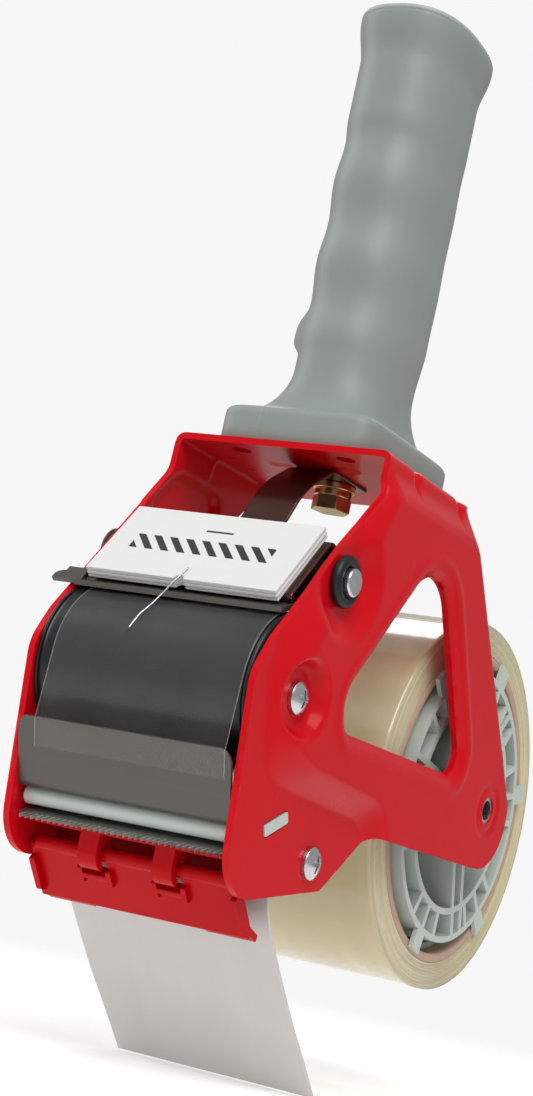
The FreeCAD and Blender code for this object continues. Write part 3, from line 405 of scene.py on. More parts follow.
def core_finish(name):
    """Wound cardboard: fibres, and layers on the edge."""
    f = Finish(name, settings().core, 0.85)
    fibre = f.noise(500.0, 4.0, (0.4, 1.0, 1.0))
    f.put("Base Color", f.shade(fibre * 0.3 + f.noise(40.0, 2.0) * 0.12 + 0.3))
    f.put("Roughness", fibre * 0.1 + 0.78)
    f.bump(fibre, 0.12, 0.7)
    return f.material


def roller_finish(name):
    """Black moulding: soft shine, faint turning marks round it."""
    f = Finish(name, settings().roller, 0.3, specular_ior_level=0.35)
    turned = f.noise(900.0, 2.0, (1.0, 0.02, 0.02))
    f.put("Base Color", f.shade(f.noise(50.0, 3.0) * 0.4 + turned * 0.2 + 0.2))
    f.put("Roughness", turned * 0.12 + f.noise(40.0, 3.0) * 0.12 + 0.2)
    f.bump(turned, 0.0016, 0.4)
    return f.material


def rubber_finish(name):
    f = Finish(name, (0.008, 0.009, 0.010), 0.4, specular_ior_level=0.35)
    f.put("Base Color", f.shade(f.noise(300.0, 3.0) * 0.5 + 0.25))
    f.put("Roughness", f.noise(500.0, 2.0) * 0.2 + 0.3)
    f.bump(f.noise(1800.0, 2.0), 0.03, 0.6)
    return f.material


def plated_finish(name):
    """Bright plated steel with a fine grain and cloudy tone."""
    f = Finish(name, settings().steel, 0.28, 1.0)
    grain = f.noise(1500.0, 2.0)
    f.put("Base Color", f.shade(f.noise(180.0, 3.0) * 0.3 + 0.3))
    f.put("Roughness", grain * 0.14 + 0.2)
    f.bump(grain, 0.02, 0.6)
    return f.material


def satin_finish(name):
    """Rolled sheet steel: fine lines along the width and a dull, even shine."""
    f = Finish(name, settings().satin, 0.42, 0.75)
    line = f.noise(900.0, 3.0, (0.02, 1.0, 1.0))
    f.put("Base Color", f.shade(line * 0.14 + f.noise(30.0, 3.0) * 0.14 + 0.34))
    f.put("Roughness", line * 0.12 + f.noise(60.0, 3.0) * 0.12 + 0.32)
    f.bump(line, 0.015, 0.5)
    return f.material


def dark_steel_finish(name):
    """Blued spring steel, brown-red where it mirrors the frame."""
    f = Finish(name, settings().dark_steel, 0.25, 0.9)
    line = f.noise(800.0, 3.0, (1.0, 0.03, 0.03))
    f.put("Base Color", f.shade(f.noise(70.0, 3.0) * 0.4 + 0.25))
    f.put("Roughness", line * 0.12 + 0.16)
    f.bump(line, 0.015, 0.5)
    return f.material


def blade_finish(name):
    """Thin ground steel with dark and rusty spots between the teeth."""
    f = Finish(name, (0.30, 0.28, 0.25), 0.4, 0.85)
    spot = f.noise(420.0, 3.0).step(0.55, 0.75)
    f.put("Base Color", f.mix((0.34, 0.33, 0.31), (0.10, 0.07, 0.05), spot * 0.8))
    f.put("Roughness", spot * 0.25 + 0.3)
    f.bump(f.noise(1200.0, 2.0, (0.2, 1.0, 1.0)), 0.02, 0.5)
    return f.material


def brass_finish(name):
    """Yellow zinc plating, uneven between gold and green."""
    f = Finish(name, settings().brass, 0.3, 1.0)
    cloud = f.noise(260.0, 3.0)
    f.put("Base Color", f.mix((0.60, 0.40, 0.14), (0.66, 0.62, 0.34), cloud.step(0.35, 0.65)))
    f.put("Roughness", cloud * 0.2 + 0.2)
    f.bump(f.noise(1400.0, 2.0), 0.02, 0.5)
    return f.material


def card_finish(name):
    """White card with paper fibre."""
    f = Finish(name, settings().card, 0.62)
    fibre = f.noise(1100.0, 4.0)
    f.put("Base Color", f.shade(fibre * 0.05 + 0.465))
    f.put("Roughness", fibre * 0.1 + 0.55)
    f.bump(fibre, 0.03, 0.5)
    return f.material


def printed_card_finish(name):
    """Top card: a printed band of slanted stripes and a short line."""
    f = Finish(name, settings().card, 0.5)
    low, high = node_box("card_5")
    x, y, z = f.place()
    tilt = math.radians(CARD_TILT)
    middle = (low + high) / 2
    up = (y - middle[1]) * math.cos(tilt) + (z - middle[2]) * math.sin(tilt)
    band = (1 - abs(up + 0.6).step(2.5, 2.7)) * (1 - abs(x + 0.4).step(17.8, 18.0))
    stripes = ((x + up * 0.9) * (2 * math.pi / 4.2)).sine().step(-0.12, 0.12)
    line = (1 - abs(up - 5.6).step(0.25, 0.4)) * (1 - abs(x - 1.0).step(3.4, 3.6))
    mark = (band * stripes).maximum(line)
    fibre = f.noise(1100.0, 4.0)
    f.put("Base Color", f.mix(f.shade(fibre * 0.05 + 0.465), (0.02, 0.02, 0.02), mark))
    f.put("Roughness", fibre * 0.1 + 0.5 - mark * 0.15)
    f.bump(fibre, 0.03, 0.5)
    return f.material


def backdrop_finish(name):
    """Pale matt floor that fades out into the even background."""
    f = Finish(name, (0.84, 0.84, 0.84), 0.9, specular_ior_level=0.0, emission_strength=1.0)
    x, y, _ = f.place()
    fade = (x * x + y * y).root().step(170.0, 620.0)
    f.put("Base Color", f.shade(f.noise(3.0, 2.0) * 0.004 + 0.498))
    f.put("Emission Color", f.mix((0.36, 0.36, 0.36), (0.40, 0.40, 0.40), fade))
    f.put("Alpha", 1 - fade)
    return f.material


FINISH_MAKERS = {
    "red_paint": paint_finish, "red_plastic": red_plastic_finish, "grey_plastic": grip_finish,
    "cap_plastic": lid_finish, "pale_plastic": pale_finish, "wound_tape": wound_tape_finish,
    "clear_tape": film_finish, "clear_flap": flap_finish, "core_board": core_finish,
    "black_plastic": roller_finish, "black_rubber": rubber_finish, "zinc_steel": plated_finish,
    "satin_steel": satin_finish, "spring_steel": dark_steel_finish, "blade_steel": blade_finish,
    "yellow_zinc": brass_finish, "white_card": card_finish,
    "printed_card": printed_card_finish, "backdrop": backdrop_finish,
}
SLOT_OF_NODE = {s["node"]: s["material_slot"] for s in frame["record"]["subparts"]}


# ---- meshes ---------------------------------------------------------------------------------------
def dress(mesh, slot_name):
    mesh.materials.clear()
    mesh.materials.append(finish_named(slot_name))


def new_piece(name, points_mm, faces, slot_name, body, replaces=()):
    """A mesh object from an array of points in millimetres and a list or array of faces."""
    mesh = bpy.data.meshes.new(name)
    mesh.from_pydata((np.asarray(points_mm) * MM).tolist(), [], [tuple(map(int, f)) for f in faces])
    mesh.validate()
    mesh.shade_smooth()
    dress(mesh, slot_name)
    piece = bpy.data.objects.new(name, mesh)
    bpy.context.scene.collection.objects.link(piece)
    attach(piece, body)
    if replaces:
        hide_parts(*replaces)
    return piece


def grid_faces(rows, columns, closed_rows=False, closed_columns=False):
    """Quads between neighbouring points of a rows x columns grid, joined round where it is closed."""
    r = np.arange(rows if closed_rows else rows - 1)
    c = np.arange(columns if closed_columns else columns - 1)
    r, c = np.meshgrid(r, c, indexing="ij")
    r1 = (r + 1) % rows
    c1 = (c + 1) % columns
    return np.stack([r * columns + c, r * columns + c1, r1 * columns + c1, r1 * columns + c],
            -1).reshape(-1, 4)


def soften(piece, width_mm, segments=2, angle=35):
    """Rounds sharp edges and evens the shading."""
    if width_mm > 0:
        bevel = piece.modifiers.new("Rounded edges", "BEVEL")
        bevel.width = width_mm * MM
        bevel.segments = segments
        bevel.limit_method = "ANGLE"
        bevel.angle_limit = math.radians(angle)
        bevel.use_clamp_overlap = True
        bevel.harden_normals = False
    normals = piece.modifiers.new("Even shading", "WEIGHTED_NORMAL")
    normals.keep_sharp = True
    return piece


def finished_copy(name, width_mm, segments=2, angle=35, sharp=38):
    """A CAD node's own shape with its loose triangles merged, flat faces joined and edges rounded."""
    source = frame["nodes"][name]
    body = source["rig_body"]
    slot_name = SLOT_OF_NODE[name]
    mesh = source.data.copy()
    mesh.name = name + "_finished"
    shape = bmesh.new()
    shape.from_mesh(mesh)
    bmesh.ops.remove_doubles(shape, verts=shape.verts, dist=2e-6)
    bmesh.ops.dissolve_limit(shape, angle_limit=math.radians(0.6), verts=shape.verts, edges=shape.edges,
                             delimit={"SHARP"})
    shape.to_mesh(mesh)
    shape.free()
    mesh.shade_smooth()
    mesh.set_sharp_from_angle(angle=math.radians(sharp))
    dress(mesh, slot_name)
    piece = bpy.data.objects.new(name + "_finished", mesh)
    bpy.context.scene.collection.objects.link(piece)
    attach(piece, body)
    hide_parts(name)
    soften(piece, width_mm, segments, angle)
    return piece


def smoothstep(t):
    t = np.clip(t, 0.0, 1.0)
    return t * t * (3 - 2 * t)


def rounded_loop(corners, step=0.9):
    """Closed line through (y, z, radius) corners: straight runs and arcs, sampled about every step mm."""
    corners = np.asarray(corners, float)
    here = corners[:, :2]
    to_last = np.roll(here, 1, 0) - here
    to_next = np.roll(here, -1, 0) - here
    a = to_last / np.linalg.norm(to_last, axis=1, keepdims=True)
    b = to_next / np.linalg.norm(to_next, axis=1, keepdims=True)
    half = np.arccos(np.clip((a * b).sum(1), -1, 1)) / 2
    radius = np.maximum(corners[:, 2], 1e-3)
    reach = radius / np.tan(half)
    middle = a + b
    middle /= np.linalg.norm(middle, axis=1, keepdims=True)
    centre = here + middle * (radius / np.sin(half))[:, None]
    start = here + a * reach[:, None]
    end = here + b * reach[:, None]
    pieces = []
    for i in range(len(corners)):
        count = max(2, int(radius[i] * (math.pi - 2 * half[i]) / step) + 2)
        t = np.linspace(0, 1, count)[:, None]
        u = start[i] - centre[i]
        v = end[i] - centre[i]
        angle = math.pi - 2 * half[i]
        arc = centre[i] + (u * np.sin((1 - t) * angle) + v * np.sin(t * angle)) / math.sin(angle)
        nxt = start[(i + 1) % len(corners)]
        run = np.linalg.norm(nxt - end[i])
        steps = max(1, int(run / step))
        line = end[i] + (nxt - end[i]) * (np.arange(1, steps) / steps)[:, None]
        pieces.extend((arc, line))
    loop = np.concatenate(pieces)
    gap = np.linalg.norm(loop - np.roll(loop, 1, 0), axis=1)
    return loop[gap > 1e-3]


def distance_to(points, loop):
    """Shortest distance from each point to a closed line, negative inside it."""
    a = loop
    b = np.roll(loop, -1, 0)
    out = np.empty(len(points))
    within = np.zeros(len(points), bool)
    for block in np.array_split(np.arange(len(points)), max(1, len(points) // 4000)):
        p = points[block][:, None, :]
        ab = (b - a)[None]
        t = np.clip(((p - a) * ab).sum(-1) / (ab * ab).sum(-1), 0, 1)
        out[block] = np.sqrt((((p - a) - t[..., None] * ab) ** 2).sum(-1).min(1))
        y, z = p[..., 0], p[..., 1]
        crosses = (a[:, 1] > z) != (b[:, 1] > z)
        rise = np.where(b[:, 1] == a[:, 1], 1.0, b[:, 1] - a[:, 1])
        at = a[:, 0] + (z - a[:, 1]) / rise * (b[:, 0] - a[:, 0])
        within[block] = (crosses & (y < at)).sum(1) % 2 == 1
    return np.where(within, -out, out)


def between(points, outer, inner):
    """0 outside the outer line, 1 inside the inner one, and a smooth rise between."""
    d_outer = -distance_to(points, outer)
    d_inner = distance_to(points, inner)
    share = d_outer / np.maximum(d_outer + np.maximum(d_inner, 0), 1e-6)
    return smoothstep(np.where(d_outer <= 0, 0.0, np.where(d_inner <= 0, 1.0, share)))


# ---- folded frame ---------------------------------------------------------------------------------
OUTER_HALF = 28.8
BRIDGE_TOP = 70.0
BRIDGE_FRONT = -86.0
BRIDGE_REAR = -33.5
BEND = 2.4
FLAT_HALF = OUTER_HALF - BEND
BEND_RUN = BEND * math.pi / 2
ROLLER = (-107.3, 8.6)
SHAFT = (-98.0, 36.5)
CROSSBAR = (-85.5, -24.4)
HOLDER = (-104.3, -18.4)
HOLDER_SLOPE = math.radians(25.7)
# the corners that both plates share, along the bridge's end and the front
FRONT_EDGE = [(-86.0, 70.0, 0.0), (-86.3, 60.5, 6.0), (-92.3, 53.4, 8.0), (-121.6, 18.6, 10.0),
              (-126.4, 10.3, 9.0), (-120.3, -37.0, 11.0)]
LONG_EDGE = FRONT_EDGE + [(-77.6, -29.8, 4.0), (-59.5, -15.0, 6.0), (29.0, -15.0, 14.0), (-41.5, 70.0, 0.0)]
SHORT_EDGE = FRONT_EDGE + [(-77.6, -29.8, 6.0), (-76.0, 34.0, 22.0), (-44.0, 66.0, 7.0), (-41.5, 70.0, 0.0)]
PANEL_INNER = [(-84.0, 58.5, 3.0), (-90.0, 45.0, 8.0), (-106.0, 22.5, 9.0), (-111.0, 10.0, 9.0),
        (-104.0, -3.5, 12.0),
               (-61.0, -6.5, 9.0), (-50.0, -22.0, 3.0), (33.0, -22.0, 2.0), (7.0, 9.5, 3.0),
                       (-36.6, 59.5, 6.0)]
PANEL_OUTER = [(-84.0, 66.5, 3.0), (-98.6, 49.4, 6.0), (-119.0, 24.0, 9.0), (-122.8, 12.0, 8.0),
        (-115.0, -11.0, 12.0),
               (-65.6, -13.0, 9.0), (-56.0, -25.0, 3.0), (45.0, -25.0, 2.0), (11.5, 11.5, 3.0),
                       (-36.0, 67.5, 6.0)]
WINDOW = [(-96.5, 5.0, 6.5), (-56.5, 52.5, 12.5), (-45.5, 44.0, 9.0), (-17.8, 5.0, 5.0)]
WINDOW_RIM = [(-102.0, 1.9, 9.5), (-56.3, 57.0, 15.5), (-42.5, 45.5, 11.5), (-12.4, 1.9, 8.0)]
SHORT_INNER = [(-84.0, 58.5, 3.0), (-90.5, 50.0, 4.0), (-81.0, 39.5, 4.0), (-59.5, 58.5, 3.0)]
SHORT_OUTER = [(-82.8, 61.3, 5.0), (-94.3, 50.2, 5.0), (-81.2, 35.6, 5.0), (-53.0, 61.3, 5.0)]
SHORT_RAISE = 1.8
RIM_DEPTH = 1.6
GUSSETS = (-70.0, -44.0)
DART_DEPTH = 1.5
DIMPLE_HEIGHT = 0.6
DIMPLE_PLACE = (-69.0, 8.5)
STUD_HOLE = 3.5
SHAFT_HOLE = 3.3
SCREW_HOLE = 2.05
BRIDGE_HOLE = 2.4
BOLT_HOLE = 3.1
BOLT_Y = -56.0


def ring_loop(y, z, radius, count=28):
    a = np.linspace(0, 2 * math.pi, count, endpoint=False)
    return np.stack([y + radius * np.cos(a), z + radius * np.sin(a)], -1)


def slot_loop():
    """Rounded slot for the blade holder's tab, turned to the holder's slope."""
    half = np.array([5.1, 1.7])
    corners = np.array([(-1, -1), (1, -1), (1, 1), (-1, 1)]) * half
    y = HOLDER[0] - corners[:, 0] * math.cos(HOLDER_SLOPE) - corners[:, 1] * math.sin(HOLDER_SLOPE)
    z = HOLDER[1] - corners[:, 0] * math.sin(HOLDER_SLOPE) + corners[:, 1] * math.cos(HOLDER_SLOPE)
    return rounded_loop(np.stack([y, z, np.full(4, 0.8)], -1), 0.5)


def to_blank(loop, side):
    """A line on a plate, (y, z), laid out on the flat blank, (y, s).

    s runs across the sheet from its middle."""
    s = FLAT_HALF + BEND_RUN + (BRIDGE_TOP - BEND - loop[:, 1])
    return np.stack([loop[:, 0], side * s], -1)


def plate_lift(points, side):
    """How far the sheet is pressed outward at a plate's points: panel, dishes, window rim and small marks."""
    if side < 0:
        lift = SHORT_RAISE * between(points, rounded_loop(SHORT_OUTER), rounded_loop(SHORT_INNER))
        edge = distance_to(points, rounded_loop(SHORT_EDGE))
        return lift - 0.25 * smoothstep((edge + 3.2) / 1.6) * (points[:, 1] < 50)
    raise_mm = bpy.context.scene.tape_sizes.raise_height / MM
    lift = raise_mm * between(points, rounded_loop(PANEL_OUTER), rounded_loop(PANEL_INNER))
    for centre, floor, slope in ((ROLLER, 6.6, 2.6), (SHAFT, 6.4, 8.5)):
        r = np.hypot(points[:, 0] - centre[0], points[:, 1] - centre[1])
        lift *= smoothstep((r - floor) / slope)
    # the panel rolls down into the window, with a low ridge just outside the roll
    rim = rounded_loop(WINDOW_RIM)
    gate = rounded_loop(WINDOW)
    lift -= RIM_DEPTH * between(points, rim, gate) ** 1.4
    d_rim = distance_to(points, rim)
    lift += 0.32 * np.exp(-((d_rim - 1.3) / 1.1) ** 2)
    r = np.hypot(points[:, 0], points[:, 1])
    lift -= 0.55 * np.exp(-((r - 5.9) / 0.7) ** 2)
    # shallow crease across the top of the panel
    crease = np.exp(-((points[:, 1] - 60.3) / 0.6) ** 2) * smoothstep((points[:, 0] + 82) / 3)
    return lift - 0.15 * crease * (points[:, 0] < -40)


def fold_sheet(blank, lift):
    """Blank point (y, s) to its place: flat bridge, quarter-round bend, then down the plate.

    Lift is outward."""
    y, s = blank[:, 0], blank[:, 1]
    side = np.sign(s)
    run = np.abs(s)
    angle = np.clip((run - FLAT_HALF) / BEND, 0, math.pi / 2)
    down = np.maximum(run - FLAT_HALF - BEND_RUN, 0)
    radius = BEND + lift
    x = np.where(run < FLAT_HALF, run, FLAT_HALF + radius * np.sin(angle))
    z = np.where(run < FLAT_HALF, BRIDGE_TOP + lift, BRIDGE_TOP - BEND + radius * np.cos(angle) - down)
    return np.stack([side * x, y, z], -1)


def blank_outline():
    """The whole sheet before folding: long plate, bridge and short plate in one closed line."""
    long_side = to_blank(rounded_loop(LONG_EDGE), 1)
    short_side = to_blank(rounded_loop(SHORT_EDGE), -1)
    fold = FLAT_HALF + BEND_RUN
    long_side = long_side[long_side[:, 1] > fold + 0.05]
    short_side = short_side[short_side[:, 1] < -fold - 0.05]
    start = np.argmin(long_side[:, 1] + 1000 * (long_side[:, 0] > -80))
    long_side = np.roll(long_side, -start, 0)
    start = np.argmin(-short_side[:, 1] + 1000 * (short_side[:, 0] > -80))
    short_side = np.roll(short_side, -start, 0)[::-1]
    if long_side[1, 1] < long_side[-1, 1]:
        long_side = long_side[::-1]
    rear = [(-40.2, fold - 1.0), (-36.6, fold - 3.0), (BRIDGE_REAR, fold - 7.0)]
    rear_line = np.array(rear + [(y, -s) for y, s in rear[::-1]])
    front_line = np.stack([np.full(60, BRIDGE_FRONT), np.linspace(-fold, fold, 60)], -1)
    return np.concatenate([front_line, long_side, rear_line, short_side])


def inside_grid(outline, holes, step):
    """Hexagonal lattice of points inside the outline and outside the holes."""
    low, high = outline.min(0), outline.max(0)
    y, s = np.meshgrid(np.arange(low[0], high[0], step), np.arange(low[1], high[1], step * 0.866),
            indexing="ij")
    rows = np.arange(y.shape[1])
    y = y + (rows % 2) * step / 2
    points = np.stack([y.ravel(), s.ravel()], -1)
    keep = distance_to(points, outline) < -step * 0.55
    for hole in holes:
        keep &= distance_to(points, hole) > step * 0.55
    return points[keep]


def build_frame():
    """Pressed and folded sheet: a triangle mesh of the flat blank, lifted by plate_lift and folded."""
    sizes = bpy.context.scene.tape_sizes
    outline = blank_outline()
    holes = [to_blank(rounded_loop(WINDOW), 1), to_blank(ring_loop(0, 0, STUD_HOLE), 1)]
    for side in (-1, 1):
        holes.append(to_blank(slot_loop(), side))
        holes.append(to_blank(ring_loop(*SHAFT, SHAFT_HOLE), side))
        for place in (ROLLER, CROSSBAR):
            holes.append(to_blank(ring_loop(*place, SCREW_HOLE, 20), side))
        holes.append(ring_loop(-79.6, side * 14.0, BRIDGE_HOLE, 24))
    holes.append(ring_loop(BOLT_Y, 0.0, BOLT_HOLE, 24))
    step = sizes.mesh_step / MM
    grid = inside_grid(outline, holes, step)
    loops = [outline] + holes
    points = np.concatenate(loops + [grid])
    edges = []
    first = 0
    for loop in loops:
        count = len(loop)
        edges += [(first + i, first + (i + 1) % count) for i in range(count)]
        first += count
    flat, _, faces, _, _, _ = delaunay_2d_cdt([Vector(p) for p in points], edges, [], 0, 1e-5)
    blank = np.array([tuple(p) for p in flat])
    faces = np.array(faces)
    middle = blank[faces].mean(1)
    keep = distance_to(middle, outline) < 0
    for hole in holes:
        keep &= distance_to(middle, hole) > 0
    faces = faces[keep]
    run = np.abs(blank[:, 1])
    plate = np.stack([blank[:, 0], BRIDGE_TOP - BEND - (run - FLAT_HALF - BEND_RUN)], -1)
    lift = np.zeros(len(blank))
    for side in (-1, 1):
        on = (np.sign(blank[:, 1]) == side) & (run > FLAT_HALF + BEND_RUN * 0.6)
        lift[on] = plate_lift(plate[on], side)
    # darts pinched into the bend, and rounded dimples in the bridge
    for y0 in GUSSETS:
        for side in (-1, 1):
            across = np.abs(blank[:, 0] - y0) / 2.6
            along = np.abs(side * blank[:, 1] - FLAT_HALF - BEND_RUN * 0.5) / 5.0
            lift -= DART_DEPTH * np.clip(1 - across - along * 0.6, 0, 1) * (np.sign(blank[:, 1]) == side)
    for side in (-1, 1):
        d = np.hypot(np.maximum(np.abs(blank[:, 1] - side * DIMPLE_PLACE[1]) - 1.6, 0),
                blank[:, 0] - DIMPLE_PLACE[0])
        lift += DIMPLE_HEIGHT * smoothstep((2.6 - d) / 1.2)
    # outer and inner faces of the sheet, and the cut edge that joins them
    thickness = sizes.sheet / MM
    outer = fold_sheet(blank, lift)
    inner = fold_sheet(blank, lift - thickness)
    a, b, c = (outer[faces[:, i]] for i in range(3))
    turned = (np.cross(b - a, c - a) * (a - np.array([0.0, -60.0, 20.0]))).sum(1).sum() < 0
    faces = faces[:, ::-1] if turned else faces
    pairs = np.concatenate([faces[:, [0, 1]], faces[:, [1, 2]], faces[:, [2, 0]]])
    key = np.sort(pairs, 1)
    _, first_at, seen = np.unique(key[:, 0] * len(blank) + key[:, 1], return_index=True, return_counts=True)
    rim = pairs[first_at[seen == 1]]
    count = len(blank)
    walls = np.stack([rim[:, 1], rim[:, 0], rim[:, 0] + count, rim[:, 1] + count], -1)
    every = faces.tolist() + (faces[:, ::-1] + count).tolist() + walls.tolist()
    piece = new_piece("folded_frame", np.concatenate([outer, inner]), every, "red_paint", "dispenser",
            ("frame",))
    mesh = piece.data
    mesh.set_sharp_from_angle(angle=math.radians(62))
    # only the two rings of the cut edge are rounded
    ends = np.empty(len(mesh.edges) * 2, np.int32)
    mesh.edges.foreach_get("vertices", ends)
    ends = np.sort(ends.reshape(-1, 2), 1).astype(np.int64)
    ring = np.sort(np.concatenate([rim, rim + count]), 1)
    on_ring = np.isin(ends[:, 0] * 2 * count + ends[:, 1], ring[:, 0] * 2 * count + ring[:, 1])
    weight = mesh.attributes.new("bevel_weight_edge", "FLOAT", "EDGE")
    weight.data.foreach_set("value", on_ring.astype(np.float32))
    bevel = piece.modifiers.new("edge_round", "BEVEL")
    bevel.limit_method = "WEIGHT"
    bevel.width = sizes.edge_round
    bevel.segments = 2
    return piece


# ---- grip -----------------------------------------------------------------------------------------
GRIP_Y = -56.0
GRIP_HALF = (13.3, 18.7)
GRIP_TOP = 184.0
FIRST_RIDGE = 99.3
GROOVE_PITCH = 21.0
LAST_GROOVE = 161.0
FLANGE = (20.5, 25.0, -59.15, 70.02, 79.02)


def closed_ring(half_x, half_y, centre_y, power, angle):
    """Rounded rectangle: |x/a|^n + |y/b|^n = 1, for arrays of rows (sizes) by columns (angle)."""
    c, s = np.cos(angle), np.sin(angle)
    grow = (np.abs(c) ** power + np.abs(s) ** power) ** (-1 / power)
    return half_x * c * grow, centre_y + half_y * s * grow


def capped_rings(rings):
    """Closed rings joined into a grid, with a fan over each end, as points and faces."""
    count, columns = rings.shape[:2]
    points = np.concatenate([rings.reshape(-1, 3), [rings[0].mean(0), rings[-1].mean(0)]])
    ring = np.arange(columns)
    after = (ring + 1) % columns
    last = (count - 1) * columns
    faces = grid_faces(count, columns, closed_columns=True).tolist()
    faces += np.stack([np.full(columns, count * columns), after, ring], -1).tolist()
    faces += np.stack([np.full(columns, count * columns + 1), last + ring, last + after], -1).tolist()
    return points, faces


def build_grip():
    """Flange, concave neck, grooved handle and flared end as one grid of rounded rectangles by height."""
    sizes = bpy.context.scene.tape_sizes
    groove = sizes.groove_depth / MM
    columns = 168
    angle = np.linspace(0, 2 * math.pi, columns, endpoint=False)[None]
    t = np.linspace(0, 1, 7)
    curve = np.sin(t * math.pi / 2)
    # flange: upright wall, rounded rim, nearly flat shelf
    base_z = np.array([FLANGE[3], FLANGE[3] + 0.5, FLANGE[3] + 3.5, FLANGE[4] - 2.4])
    rim_in = 2.2 * (1 - np.sqrt(1 - curve ** 2))[1:]
    rim_z = FLANGE[4] - 2.2 + 2.2 * curve[1:]
    shelf_in = np.array([3.0, 3.9])
    shelf_z = np.array([FLANGE[4] + 0.25, FLANGE[4] + 0.6])
    flange_in = np.concatenate([[0.25, 0, 0, 0], rim_in, shelf_in])
    flange_z = np.concatenate([base_z, rim_z, shelf_z])
    flange_x = FLANGE[0] - flange_in
    flange_y = FLANGE[1] - flange_in
    flange_c = np.full(len(flange_z), FLANGE[2])
    flange_n = np.full(len(flange_z), 9.0)
    # neck: the shelf sweeps up into the handle
    u = np.linspace(0.06, 1, 22)
    neck_z = FLANGE[4] + 0.6 + 13.4 * (1 - np.cos(u * math.pi / 2)) ** 0.9
    spread = (1 - np.sin(u * math.pi / 2)) ** 1.15
    neck_x = GRIP_HALF[0] - 0.5 + (flange_x[-1] - GRIP_HALF[0] + 0.2) * spread
    neck_y = GRIP_HALF[1] - 0.9 + (flange_y[-1] - GRIP_HALF[1] + 0.4) * spread
    neck_c = GRIP_Y - 1.0 + (FLANGE[2] - GRIP_Y + 1.0) * spread
    neck_n = 2.5 + 5.5 * spread
    # handle: straight sides, four grooves on the front
    h = np.linspace(0, 1, 150)[1:]
    low = neck_z[-1]
    hand_z = low + (GRIP_TOP - low) * h
    settle = smoothstep(h * 6)
    flare = smoothstep((hand_z - GRIP_TOP + 11.0) / 11.0)
    wave = 0.5 - 0.5 * np.cos(2 * math.pi * (hand_z - FIRST_RIDGE) / GROOVE_PITCH)
    fade = smoothstep((LAST_GROOVE - hand_z) / 9.0) * smoothstep((hand_z - low) / 9.0)
    cut = groove * (wave - 0.4) * fade
    hand_x = GRIP_HALF[0] - 0.5 + 0.5 * settle + 1.7 * flare - 0.35 * wave * fade
    hand_y = GRIP_HALF[1] - 0.9 + 0.9 * settle + 2.0 * flare - cut / 2
    hand_c = GRIP_Y - 1.0 + 1.0 * settle + cut / 2
    hand_n = np.full(len(hand_z), 2.5)
    z = np.concatenate([flange_z, neck_z, hand_z])[:, None]
    rows = [np.concatenate(parts)[:, None] for parts in
            ((flange_x, neck_x, hand_x), (flange_y, neck_y, hand_y), (flange_c, neck_c, hand_c),
             (flange_n, neck_n, hand_n))]
    x, y = closed_ring(rows[0], rows[1], rows[2], rows[3], angle)
    z = np.broadcast_to(z, x.shape)
    # small rise on the left side where the thumb rests
    bump = np.exp(-(((z - 102.5) / 4.6) ** 4) - ((y + 64.0) / 5.5) ** 2) * (x < 0)
    x = x - 2.6 * bump
    # the end slopes down to the rear
    weight = smoothstep((z - 100.0) / (GRIP_TOP - 100.0))
    z = z - sizes.grip_tilt * weight * (y - (GRIP_Y - GRIP_HALF[1] - 2.0))
    points = np.stack([x, y, z], -1)
    new_piece("grip_moulding", *capped_rings(points), "grey_plastic", "dispenser", ("grip",))

    # lid: a shallow tray with a rounded rim
    inset = np.array([0.0, 0.0, 0.15, 0.5, 1.2, 1.6, 3.0])
    rise = np.array([0.05, 0.9, 1.25, 1.45, 1.45, 1.1, 1.05])
    x, y = closed_ring(rows[0][-1] - inset[:, None], rows[1][-1] - inset[:, None], rows[2][-1], 2.5, angle)
    z = GRIP_TOP + rise[:, None] - sizes.grip_tilt * (y - (GRIP_Y - GRIP_HALF[1] - 2.0))
    lid = np.stack([x, y, z], -1)
    new_piece("grip_lid", *capped_rings(lid), "cap_plastic", "dispenser", ("grip_cap",))


# ---- turned pieces --------------------------------------------------------------------------------
def revolve(name, profile, centre, columns, slot_name, body, replaces, wobble=None):
    """A closed (x, radius) profile carried round the X axis at centre (y, z)."""
    profile = np.asarray(profile, float)
    angle = np.linspace(0, 2 * math.pi, columns, endpoint=False)[None]
    x = np.broadcast_to(profile[:, :1], (len(profile), columns))
    r = np.broadcast_to(profile[:, 1:], x.shape)
    if wobble is not None:
        x, r = wobble(x, r, angle)
    points = np.stack([x, centre[0] + r * np.cos(angle), centre[1] + r * np.sin(angle)], -1)
    faces = grid_faces(len(profile), columns, True, True)[:, ::-1]
    return new_piece(name, points.reshape(-1, 3), faces, slot_name, body, replaces)


def rounded_profile(corners, step=0.5):
    """Closed profile with rounded corners, as (x, radius) points."""
    return rounded_loop(corners, step)


def build_roller():
    """Hollow drum: rim, groove and smooth middle at each end."""
    half, groove = 26.85, 25.6
    corners = [(-half, 4.05, 0.1), (-half, 6.2, 0.1), (-half + 3.0, 6.2, 0.3), (-half + 3.0, 15.6, 0.3),
               (-half, 15.6, 0.3), (-half, 18.1, 0.4), (-groove - 0.35, 18.1, 0.15),
                       (-groove - 0.35, 17.4, 0.1),
               (-groove, 17.4, 0.1), (-groove, 18.0, 0.2)]
    profile = corners + [(-x, r, k) for x, r, k in corners[::-1]]
    revolve("guide_drum", rounded_profile(profile, 0.8), ROLLER, 128, "black_plastic", "roller",
            ("guide_roller",))


